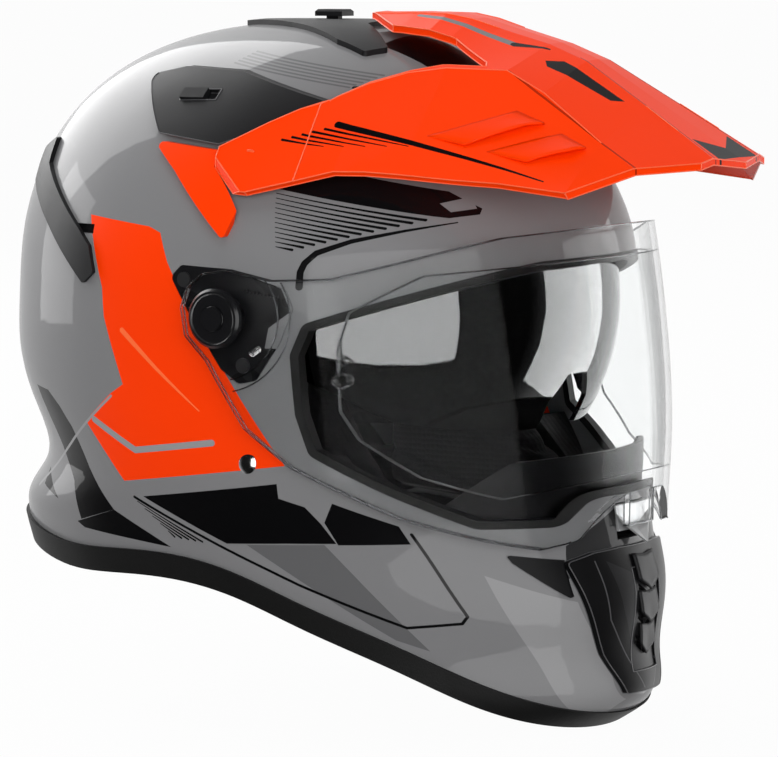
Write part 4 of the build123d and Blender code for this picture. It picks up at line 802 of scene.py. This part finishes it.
FINISHES = {
    "shell_paint": shell_paint(),
    "peak_paint": peak_paint(),
    "plate_black": plastic("plate_black", plate_colour, PLATE_SURFACE),
    "chin_mask": plastic("chin_mask", mask_colour, MASK_SURFACE),
    "bead_foam": foam(),
    "lining_knit": knit("lining_knit", LINING_GREY, LINING_CELLS),
    "curtain_knit": knit("curtain_knit", CURTAIN_BLACK, CURTAIN_CELLS),
    "strap_webbing": webbing("strap_webbing", WEBBING_BLACK),
    "red_webbing": webbing("red_webbing", WEBBING_RED),
    "wire_mesh": wire_mesh(),
}
FINISHES.update({name: moulded(name, *values) for name, values in MOULDED_FINISHES.items()})
FINISHES.update({name: lens(name, *values) for name, values in LENSES.items()})
NODE_FINISHES = {
    "shell_paint": ["outer_shell"],
    "peak_paint": ["peak", "peak_bracket_left", "peak_bracket_right"],
    "vent_black": ["side_vent_cover_left", "side_vent_cover_right", "rear_vent_left", "rear_vent_right",
                   "top_vent_housing", "top_vent_slider", "side_vent_slider_left", "side_vent_slider_right",
                   "sun_visor_slider", "sun_visor_cable"],
    "chin_mask": ["chin_vent_frame"],
    "chin_black": ["chin_inlay_left", "chin_inlay_right", "breath_guard"],
    "knob_black": ["knob_button_left", "knob_button_right"],
    "plate_black": ["pivot_base_left", "pivot_base_right"],
    "screw_black": ["pivot_base_screws"],
    "knob_rings": ["visor_knob_left", "visor_knob_right"],
    "rim_rubber": ["lower_rim_trim", "eye_port_seal"],
    "chin_scale": ["chin_vent_grille"],
    "wire_mesh": ["chin_vent_mesh"],
    "bright_steel": ["strap_rivets", "strap_ring_upper", "strap_ring_lower", "strap_snap", "sun_visor_clips"],
    "silver_tab": ["chin_vent_tab"],
    "clear_lens": ["clear_visor", "fog_insert", "fog_insert_pins"],
    "smoked_lens": ["sun_visor"],
    "bead_foam": ["eps_crown", "eps_chin", "cheek_core_left", "cheek_core_right"],
    "lining_knit": ["comfort_liner", "neck_roll", "cheek_pad_left", "cheek_pad_right", "chin_curtain"],
    "strap_webbing": ["chin_strap_left", "chin_strap_right"],
    "red_webbing": ["pull_tab_left", "pull_tab_right"],
}


def dress(mesh, finish):
    """Gives a mesh its one material."""
    mesh.materials.clear()
    mesh.materials.append(FINISHES[finish])


def dress_nodes():
    """Gives each carried-over node its material."""
    for finish, names in NODE_FINISHES.items():
        for name in names:
            dress(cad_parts[name].data, finish)


# Pieces

def add_piece(name, mesh, finish, body="helmet"):
    """A new object at the origin that rides on a body."""
    piece = bpy.data.objects.new(name, mesh)
    bpy.context.scene.collection.objects.link(piece)
    dress(mesh, finish)
    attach(piece, body)
    return piece


def node_form(name):
    """A merged copy of a node's mesh."""
    form = bmesh.new()
    form.from_mesh(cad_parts[name].data)
    bmesh.ops.remove_doubles(form, verts=form.verts, dist=MERGE_REACH)
    bmesh.ops.recalc_face_normals(form, faces=form.faces)
    return form


def to_mesh(form, name):
    """A mesh from a form, with smooth faces."""
    mesh = bpy.data.meshes.new(name)
    for face in form.faces:
        face.smooth = True
    form.to_mesh(mesh)
    form.free()
    return mesh


def settle(piece):
    """Makes a piece's modifiers part of its mesh."""
    graph = bpy.context.evaluated_depsgraph_get()
    made = bpy.data.meshes.new_from_object(piece.evaluated_get(graph), depsgraph=graph)
    piece.modifiers.clear()
    piece.data = made
    for face in made.polygons:
        face.use_smooth = True


def flatten(piece):
    """Flat faces, for a piece with hard edges."""
    for face in piece.data.polygons:
        face.use_smooth = False


def thicken(piece, wall):
    """Gives a sheet its wall, inwards."""
    made = piece.modifiers.new("wall", "SOLIDIFY")
    made.thickness = wall
    made.offset = -1.0
    settle(piece)


def remesh(piece, voxel):
    """An even skin over a piece, ready to be swollen or grooved."""
    skin = piece.modifiers.new("skin", "REMESH")
    skin.mode = "VOXEL"
    skin.voxel_size = voxel
    settle(piece)


def swell(piece, inset):
    """Draws a pad in, then fills it by cloth simulation, no further out than it was."""
    mesh = piece.data
    starts = [point.co - point.normal * inset for point in mesh.vertices]
    for point, start in zip(mesh.vertices, starts):
        point.co = start
    mesh.update()
    cloth = piece.modifiers.new("fill", "CLOTH")
    cloth.settings.use_pressure = True
    cloth.settings.uniform_pressure_force = PAD_PRESSURE
    cloth.settings.effector_weights.gravity = 0
    cloth.point_cache.frame_end = PAD_STEPS
    scene = bpy.context.scene
    for step in range(1, PAD_STEPS + 1):
        scene.frame_set(step)
    settle(piece)
    for point, start in zip(piece.data.vertices, starts):
        move = point.co - start
        if move.length > inset:
            point.co = start + move.normalized() * inset
    scene.frame_set(1)


def refine(piece):
    """One level of subdivision, made part of the mesh."""
    smooth = piece.modifiers.new("smooth", "SUBSURF")
    smooth.levels = 1
    smooth.render_levels = 1
    settle(piece)


def groove(piece, distance):
    """Presses sewn channels into a padded piece, where a distance from their lines is small."""
    mesh = piece.data
    moves = []
    for point in mesh.vertices:
        share = max(0.0, 1.0 - abs(distance(point.co)) / GROOVE_HALF)
        moves.append(-point.normal * GROOVE_DEPTH * share * share * (3 - 2 * share))
    for point, move in zip(mesh.vertices, moves):
        point.co += move
    mesh.update()


def near_multiple(value, pitch):
    """How far a value is from the nearest whole number of pitches."""
    return abs(value - pitch * round(value / pitch))


def padded_piece(node_name, voxel, inset, distance, simulate=True):
    """A padded piece in place of its solid: swollen, subdivided and then grooved."""
    name = node_name + "_padding"
    piece = add_piece(name, to_mesh(node_form(node_name), name), "lining_knit")
    remesh(piece, voxel)
    if simulate:
        swell(piece, inset)
    refine(piece)
    groove(piece, distance)
    dress(piece.data, "lining_knit")
    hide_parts(node_name)


def roll_distance(place):
    """Distance from the neck roll's upright channels."""
    turn = math.atan2(place.y, CENTRE_X - place.x)
    reach = math.hypot(place.y, place.x - CENTRE_X)
    return near_multiple(turn, 2 * ROLL_SPREAD / (ROLL_GROOVES - 1)) * reach


def liner_distance(place):
    """Distance from the crown lining's two long seams and its cross channels between them."""
    seam = abs(abs(place.y) - LINER_SEAM_HALF)
    if abs(place.y) > LINER_SEAM_HALF:
        return seam
    return min(seam, near_multiple(place.x - CENTRE_X, LINER_RIB_PITCH))


def cheek_distance(place):
    """Distance from a cheek pad's two slanting channels."""
    slant = place.z + CHEEK_SLANT * place.x
    return near_multiple(slant + CHEEK_START, CHEEK_PITCH)


def chin_curtain_sheet():
    """The curtain under the chin: one stretched sheet along its solid's outer side."""
    form = node_form("chin_curtain")
    centre = Vector((CENTRE_X, 0, CURTAIN_HEIGHT))
    inner = [face for face in form.faces
             if face.normal.dot((face.calc_center_median() - centre).normalized()) < CURTAIN_FACING]
    bmesh.ops.delete(form, geom=inner, context="FACES")
    for _ in range(CURTAIN_CUTS):
        long_edges = [edge for edge in form.edges if edge.calc_length() > CURTAIN_EDGE]
        if not long_edges:
            break
        bmesh.ops.subdivide_edges(form, edges=long_edges, cuts=1)
        bmesh.ops.triangulate(form, faces=form.faces)
    area = sum(face.calc_area() for face in form.faces)
    name = "chin_curtain_cloth"
    piece = add_piece(name, to_mesh(form, name), "curtain_knit")
    thicken(piece, CURTAIN_WALL)
    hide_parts("chin_curtain")


def strap_piece(node_name, finish):
    """A strap or tab of webbing in place of its solid, with soft edges."""
    name = node_name + "_web"
    piece = add_piece(name, to_mesh(node_form(node_name), name), finish)
    edges = piece.modifiers.new("edges", "BEVEL")
    edges.width = WEB_BEVEL
    edges.segments = WEB_BEVEL_STEPS
    edges.limit_method = "ANGLE"
    edges.angle_limit = WEB_EDGE_ANGLE
    settle(piece)
    flatten(piece)
    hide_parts(node_name)


# Geometry Nodes

def put_out(tree, geometry, finish, outlet):
    """Ends a tree: its pieces made real and painted."""
    real = node(tree, "GeometryNodeRealizeInstances", Geometry=geometry)
    painted = node(tree, "GeometryNodeSetMaterial", Geometry=real.outputs[0], Material=FINISHES[finish])
    tree.links.new(painted.outputs[0], outlet.inputs[0])


def round_wire(tree, curve, radius):
    """Round wire along a curve."""
    section = node(tree, "GeometryNodeCurvePrimitiveCircle", Resolution=WIRE_SIDES, Radius=radius)
    wire = node(tree, "GeometryNodeCurveToMesh", Curve=curve)
    tree.links.new(section.outputs["Curve"], wire.inputs["Profile Curve"])
    return wire.outputs[0]


def stitch_tree(finish):
    """Rows of stitches along the edges of a line mesh."""
    tree, inlet, outlet = new_group("stitch_rows", [
        ("Lines", "Geometry"), ("Pitch", "Float"), ("Length", "Float"), ("Width", "Float")],
        [("Stitches", "Geometry")], "GeometryNodeTree")
    rows = node(tree, "GeometryNodeMeshToCurve", Mesh=inlet.outputs["Lines"])
    spaced = node(tree, "GeometryNodeCurveToPoints", mode="LENGTH", Curve=rows.outputs[0],
                  Length=inlet.outputs["Pitch"])
    stitch = node(tree, "GeometryNodeMeshUVSphere", Segments=STITCH_SIDES, Rings=STITCH_RINGS,
                  Radius=STITCH_HALF)
    size = node(tree, "ShaderNodeCombineXYZ", X=inlet.outputs["Width"], Y=inlet.outputs["Width"],
                Z=inlet.outputs["Length"])
    placed = node(tree, "GeometryNodeInstanceOnPoints", Points=spaced.outputs["Points"],
                  Instance=stitch.outputs["Mesh"], Rotation=spaced.outputs["Rotation"], Scale=size.outputs[0])
    put_out(tree, placed.outputs[0], finish, outlet)
    return tree


def spring_tree(finish):
    """Wire springs: a spiral of round wire at each point, along its normal, for a loose point away from 0."""
    tree, inlet, outlet = new_group("wire_spring", [
        ("Places", "Geometry"), ("Turns", "Float"), ("Radius", "Float"), ("Height", "Float"),
        ("Wire", "Float")], [("Springs", "Geometry")], "GeometryNodeTree")
    coil = node(tree, "GeometryNodeCurveSpiral", Resolution=COIL_STEPS, Rotations=inlet.outputs["Turns"],
                Height=inlet.outputs["Height"])
    tree.links.new(inlet.outputs["Radius"], coil.inputs["Start Radius"])
    tree.links.new(inlet.outputs["Radius"], coil.inputs["End Radius"])
    wire = round_wire(tree, coil.outputs[0], inlet.outputs["Wire"])
    normal = tree.nodes.new("GeometryNodeInputNormal").outputs[0]
    turned = node(tree, "FunctionNodeAlignRotationToVector", axis="Z", Vector=normal)
    placed = node(tree, "GeometryNodeInstanceOnPoints", Points=inlet.outputs["Places"], Instance=wire,
                  Rotation=turned.outputs[0])
    put_out(tree, placed.outputs[0], finish, outlet)
    return tree


def teeth_tree(finish):
    """A row of small ratchet teeth along a line."""
    tree, inlet, outlet = new_group("ratchet_teeth", [
        ("Lines", "Geometry"), ("Count", "Int"), ("Size", "Float")],
        [("Teeth", "Geometry")], "GeometryNodeTree")
    rows = node(tree, "GeometryNodeMeshToCurve", Mesh=inlet.outputs["Lines"])
    spaced = node(tree, "GeometryNodeCurveToPoints", mode="COUNT", Curve=rows.outputs[0],
                  Count=inlet.outputs["Count"])
    tooth = node(tree, "GeometryNodeMeshCone", Vertices=TOOTH_SIDES)
    tree.links.new(inlet.outputs["Size"], tooth.inputs["Radius Bottom"])
    tree.links.new(inlet.outputs["Size"], tooth.inputs["Depth"])
    placed = node(tree, "GeometryNodeInstanceOnPoints", Points=spaced.outputs["Points"],
                  Instance=tooth.outputs["Mesh"], Rotation=spaced.outputs["Rotation"])
    put_out(tree, placed.outputs[0], finish, outlet)
    return tree


def bead_tree(finish):
    """A round bead along the lines it is given."""
    tree, inlet, outlet = new_group("edge_bead_" + finish, [("Lines", "Geometry"), ("Radius", "Float")],
                                    [("Bead", "Geometry")], "GeometryNodeTree")
    lines = node(tree, "GeometryNodeMeshToCurve", Mesh=inlet.outputs["Lines"])
    put_out(tree, round_wire(tree, lines.outputs[0], inlet.outputs["Radius"]), finish, outlet)
    return tree


def grown(name, tree, mesh, values, finish, body="helmet"):
    """The mesh that a Geometry Nodes tree makes, as a piece that rides on a body."""
    source = bpy.data.objects.new(name + "_source", mesh)
    bpy.context.scene.collection.objects.link(source)
    grow = source.modifiers.new("grow", "NODES")
    grow.node_group = tree
    for item in tree.interface.items_tree:
        if item.item_type == "SOCKET" and item.in_out == "INPUT" and item.name in values:
            grow[item.identifier] = values[item.name]
    graph = bpy.context.evaluated_depsgraph_get()
    made = bpy.data.meshes.new_from_object(source.evaluated_get(graph), depsgraph=graph)
    bpy.data.objects.remove(source)
    add_piece(name, made, finish, body)


def line_mesh(name, lines):
    """A mesh of open lines, each a list of places."""
    mesh = bpy.data.meshes.new(name)
    points = [place for line in lines for place in line]
    edges = []
    gone = 0
    for line in lines:
        edges += [(gone + index, gone + index + 1) for index in range(len(line) - 1)]
        gone += len(line)
    mesh.from_pydata(points, edges, [])
    return mesh


def add_strap_stitches():
    """Two rows of stitches along the shelf of each chin strap."""
    tree = stitch_tree("thread")
    sizes = {"Pitch": STITCH_PITCH, "Length": STITCH_LENGTH, "Width": STITCH_WIDTH}
    for side, turn in SIDES.items():
        near, far = STRAP_ROW_ENDS[side]
        rows = [[(STRAP_X + way * STRAP_ROW_HALF, turn * near, STRAP_LOW),
                 (STRAP_X + way * STRAP_ROW_HALF, turn * far, STRAP_LOW)] for way in (-1, 1)]
        name = "strap_stitches_" + side
        grown(name, tree, line_mesh(name, rows), sizes, "thread")


def surface_tree(name):
    """A node's surface, to lay pieces on."""
    form = node_form(name)
    tree = BVHTree.FromBMesh(form)
    form.free()
    return tree


def turn_out(form, axis):
    """Turns a form's faces to look along an axis."""
    form.normal_update()
    if sum(face.normal[axis] for face in form.faces) < 0:
        bmesh.ops.reverse_faces(form, faces=form.faces)


def fill_grid(form, grid, axis):
    """Faces between the rows of a grid of points, which look along an axis."""
    for here, there in zip(grid, grid[1:]):
        for corners in zip(here, here[1:], there[1:], there):
            form.faces.new(corners)
    turn_out(form, axis)


def scoop_mesh(surface, corners, name, turn):
    """A raised louvre: a lid over the surface, from its root edge up to its open mouth."""
    places = [Vector((x, turn * abs(y), z)) * MM for x, y, z in corners]
    root_start, root_end, tip, mouth_middle, mouth_start = places
    swell_start, swell_run = SCOOP_SWELL
    form = bmesh.new()
    grid = []
    for row in range(SCOOP_ROWS + 1):
        along = row / SCOOP_ROWS
        root = root_start.lerp(root_end, along)
        if along < 0.5:
            mouth = mouth_start.lerp(mouth_middle, along * 2)
        else:
            mouth = mouth_middle.lerp(tip, along * 2 - 1)
        line = []
        for column in range(SCOOP_ROWS + 1):
            share = column / SCOOP_ROWS
            place, normal = surface.find_nearest(root.lerp(mouth, share))[:2]
            if normal.z < 0:
                normal = -normal
            lift = SCOOP_ROOT + SCOOP_LIFT * share * math.sin(math.pi * (swell_start + swell_run * along))
            line.append(form.verts.new(place + normal * lift))
        grid.append(line)
    fill_grid(form, grid, Z_AXIS)
    return to_mesh(form, name)


def add_scoops():
    """The two louvres on each side of the peak."""
    surface = surface_tree("peak")
    for side, turn in SIDES.items():
        for index, corners in enumerate(SCOOP_CORNERS_MM):
            name = f"peak_louvre_{side}_{index + 1}"
            mesh = scoop_mesh(surface, corners, name, turn)
            thicken(add_piece(name, mesh, "peak_paint", "peak"), SCOOP_WALL)


def chin_face(y, z):
    """How far forward the chin mask's face is at a place in front view."""
    peak, level = CHIN_FACE_PEAK
    return peak - CHIN_FACE_DROP * ((z - level) / CHIN_FACE_REACH) ** 2 - y * y / (2 * CHIN_FACE_TURN)


def add_chin_scales():
    """V-shaped scales down the middle of the chin mask, each lifted along its lower edge."""
    for index, (tip, half, middle) in enumerate(SCALES_MM):
        form = bmesh.new()
        grid = []
        for column in range(SCALE_STEPS + 1):
            out = 2 * column / SCALE_STEPS - 1
            low = tip * MM + SCALE_RISE * abs(out)
            depth = middle * MM - SCALE_NARROWING * abs(out)
            line = []
            for row in range(SCALE_STEPS + 1):
                share = row / SCALE_STEPS
                y = out * half * MM
                z = low + depth * (1 - share)
                x = chin_face(y, z) + SCALE_ROOT + SCALE_LIFT * share
                line.append(form.verts.new((x, y, z)))
            grid.append(line)
        fill_grid(form, grid, X_AXIS)
        name = f"chin_scale_{index + 1}"
        piece = add_piece(name, to_mesh(form, name), "chin_scale")
        thicken(piece, SCOOP_WALL)


def add_tab_blade():
    """The silver blade of the chin vent's tab: two facets that meet in a ridge and end in a point."""
    form = bmesh.new()
    for turn in SIDES.values():
        for facet in BLADE_MM:
            corners = [form.verts.new(Vector((x, turn * y, z)) * MM) for x, y, z in facet]
            form.faces.new(corners if turn > 0 else corners[::-1])
    bmesh.ops.remove_doubles(form, verts=form.verts, dist=MERGE_REACH)
    turn_out(form, X_AXIS)
    piece = add_piece("tab_blade", to_mesh(form, "tab_blade"), "silver_tab", "chin_vent_tab")
    thicken(piece, BLADE_WALL)
    flatten(piece)


def sharp_lines(name, angle):
    """A node's sharp edges, as a mesh of lines."""
    form = node_form(name)
    keep = [edge for edge in form.edges if len(edge.link_faces) != 2 or edge.calc_face_angle() >= angle]
    places = {}
    for edge in keep:
        for point in edge.verts:
            places.setdefault(point.index, len(places))
    coords = [None] * len(places)
    form.verts.ensure_lookup_table()
    for index, order in places.items():
        coords[order] = form.verts[index].co.copy()
    edges = [(places[edge.verts[0].index], places[edge.verts[1].index]) for edge in keep]
    form.free()
    mesh = bpy.data.meshes.new(name + "_lines")
    mesh.from_pydata(coords, edges, [])
    return mesh


def add_edge_beads():
    """The moulded bead round the clear visor's edge and the fog insert's seal, and rounded moulded edges;
    those on the peak and the vent covers are coloured paler than their parts as a painted highlight.
    """
    for node_name, radius, angle, finish, body, slot in EDGE_BEADS:
        tree = bpy.data.node_groups.get("edge_bead_" + finish) or bead_tree(finish)
        lines = sharp_lines(node_name, math.radians(angle))
        grown(node_name + "_bead", tree, lines, {"Radius": radius}, finish, body)


def on_side(surface, turn, x, z):
    """The place on one side's surface at a place in side view, or None beside it."""
    return surface.ray_cast(Vector((x, turn * 2 * SHELL_HALF, z)), Vector((0, -turn, 0)))[0]


def add_pivot_details():
    """The ratchet teeth and the spring in each pivot plate, and the rings in the visor round them."""
    teeth = teeth_tree("screw_black")
    springs = spring_tree("bright_steel")
    beads = bpy.data.node_groups["edge_bead_lens_edge"]
    visor = surface_tree("clear_visor")
    for side, turn in SIDES.items():
        plate = surface_tree("pivot_base_" + side)
        row = [on_side(plate, turn, x * MM, z * MM) for x, z in TOOTH_ENDS_MM]
        name = "ratchet_teeth_" + side
        sizes = {"Count": TOOTH_COUNT, "Size": TOOTH_SIZE}
        grown(name, teeth, line_mesh(name, [row]), sizes, "screw_black")
        start, end = [on_side(plate, turn, x * MM, z * MM) for x, z in SPRING_ENDS_MM]
        spot = start - Vector((0, turn * SPRING_SUNK, 0))
        sizes = {"Turns": SPRING_TURNS, "Radius": SPRING_RADIUS, "Height": (end - start).length,
                 "Wire": SPRING_WIRE}
        name = "ratchet_spring_" + side
        grown(name, springs, line_mesh(name, [[spot]]), sizes, "bright_steel")
        rings = []
        for radius in RING_RADII:
            line = []
            for step in range(RING_STEPS + 1):
                turned = RING_START + (RING_END - RING_START) * step / RING_STEPS
                place = on_side(visor, turn, PIVOT_X + radius * math.cos(turned), radius * math.sin(turned))
                if place:
                    line.append(place)
            rings.append(line)
        name = "visor_rings_" + side
        grown(name, beads, line_mesh(name, rings), {"Radius": RING_BEAD}, "lens_edge", "visor")


def look_at(thing, place, aim):
    """Turns a camera or lamp from its place towards a point."""
    thing.location = place
    thing.rotation_euler = (Vector(aim) - Vector(place)).to_track_quat("-Z", "Y").to_euler()


def set_camera():
    """The photograph's viewpoint."""
    data = bpy.data.cameras.new("photo_camera")
    data.lens = CAMERA_LENS
    data.sensor_width = SENSOR_WIDTH
    camera = bpy.data.objects.new("photo_camera", data)
    bpy.context.scene.collection.objects.link(camera)
    look_at(camera, CAMERA_PLACE, CAMERA_AIM)
    bpy.context.scene.camera = camera


def softbox(name, place, size, glow, mirrored):
    """A soft rectangular lamp that faces the helmet."""
    data = bpy.data.lights.new(name, "AREA")
    data.shape = "RECTANGLE"
    data.size, data.size_y = size
    data.energy = glow * math.pi * size[0] * size[1]
    lamp = bpy.data.objects.new(name, data)
    bpy.context.scene.collection.objects.link(lamp)
    lamp.visible_glossy = mirrored
    look_at(lamp, place, (0, 0, 0))


def straight_rays(tree, path):
    """1 for the camera's rays, also through clear pieces, as long as nothing has turned them back."""
    bounces = math_node(tree, "ADD", path.outputs["Diffuse Depth"], path.outputs["Glossy Depth"])
    unturned = math_node(tree, "LESS_THAN", bounces, HALF_BOUNCE)
    through = math_node(tree, "MULTIPLY", path.outputs["Is Transmission Ray"], unturned)
    return math_node(tree, "MAXIMUM", path.outputs["Is Camera Ray"], through)


def mix_shaders(tree, share, first, second):
    """A blend of two shaders."""
    mixed = tree.nodes.new("ShaderNodeMixShader")
    for wanted, socket in zip((share, first, second), mixed.inputs):
        tree.links.new(wanted, socket)
    return mixed.outputs[0]


def add_floor():
    """A pale floor, white to straight rays and absent from mirrored ones."""
    low = min(corner[2] for corner in cad_bounds)
    bpy.ops.mesh.primitive_plane_add(size=2 * FLOOR_REACH, location=(0, 0, low))
    floor = bpy.context.object
    floor.name = "floor"
    made, tree, shader = material("floor_white")
    shader.inputs["Base Color"].default_value = (FLOOR_GREY, FLOOR_GREY, FLOOR_GREY, 1)
    shader.inputs["Roughness"].default_value = FLOOR_ROUGHNESS
    glow = node(tree, "ShaderNodeEmission", Color=WHITE, Strength=1.0)
    path = tree.nodes.new("ShaderNodeLightPath")
    bright = math_node(tree, "MULTIPLY", straight_rays(tree, path), FLOOR_WHITE)
    blend = mix_shaders(tree, bright, shader.outputs[0], glow.outputs[0])
    turned = math_node(tree, "GREATER_THAN", path.outputs["Glossy Depth"], HALF_BOUNCE)
    absent = tree.nodes.new("ShaderNodeBsdfTransparent").outputs[0]
    tree.links.new(mix_shaders(tree, turned, blend, absent), tree.nodes["Material Output"].inputs["Surface"])
    floor.data.materials.append(made)


def set_world():
    """A white backdrop in a dim room."""
    world = bpy.data.worlds.new("surrounding")
    world.use_nodes = True
    bpy.context.scene.world = world
    tree = world.node_tree
    background = tree.nodes["Background"]
    background.inputs["Color"].default_value = WHITE
    way = tree.nodes.new("ShaderNodeTexCoord").outputs["Generated"]
    facing = vector_node(tree, "DOT_PRODUCT", way, BACKDROP_WAY, "Value")
    backdrop = node(tree, "ShaderNodeMapRange", interpolation_type="SMOOTHSTEP", Value=facing,
                    From_Min=BACKDROP_START, From_Max=BACKDROP_FULL, To_Min=ROOM_GLOW)
    path = tree.nodes.new("ShaderNodeLightPath")
    glossy = math_node(tree, "MULTIPLY", path.outputs["Is Glossy Ray"], backdrop.outputs[0])
    plain = math_node(tree, "MULTIPLY", path.outputs["Is Diffuse Ray"], AMBIENT)
    seen = math_node(tree, "MAXIMUM", glossy, straight_rays(tree, path))
    tree.links.new(math_node(tree, "MAXIMUM", seen, plain), background.inputs["Strength"])


def set_stage():
    """The floor, its surroundings and soft lamps."""
    bpy.context.scene.view_settings.view_transform = "Standard"
    add_floor()
    set_world()
    for name, values in SOFTBOXES.items():
        softbox(name, *values)


set_camera()
set_stage()
dress_nodes()
for side in SIDES:
    padded_piece("cheek_pad_" + side, PAD_VOXEL, PAD_INSET, cheek_distance)
    strap_piece("chin_strap_" + side, "strap_webbing")
    strap_piece("pull_tab_" + side, "red_webbing")
padded_piece("neck_roll", PAD_VOXEL, PAD_INSET, roll_distance)
padded_piece("comfort_liner", LINER_VOXEL, LINER_INSET, liner_distance, simulate=False)
chin_curtain_sheet()
add_strap_stitches()
add_scoops()
add_chin_scales()
add_tab_blade()
add_edge_beads()
add_pivot_details()
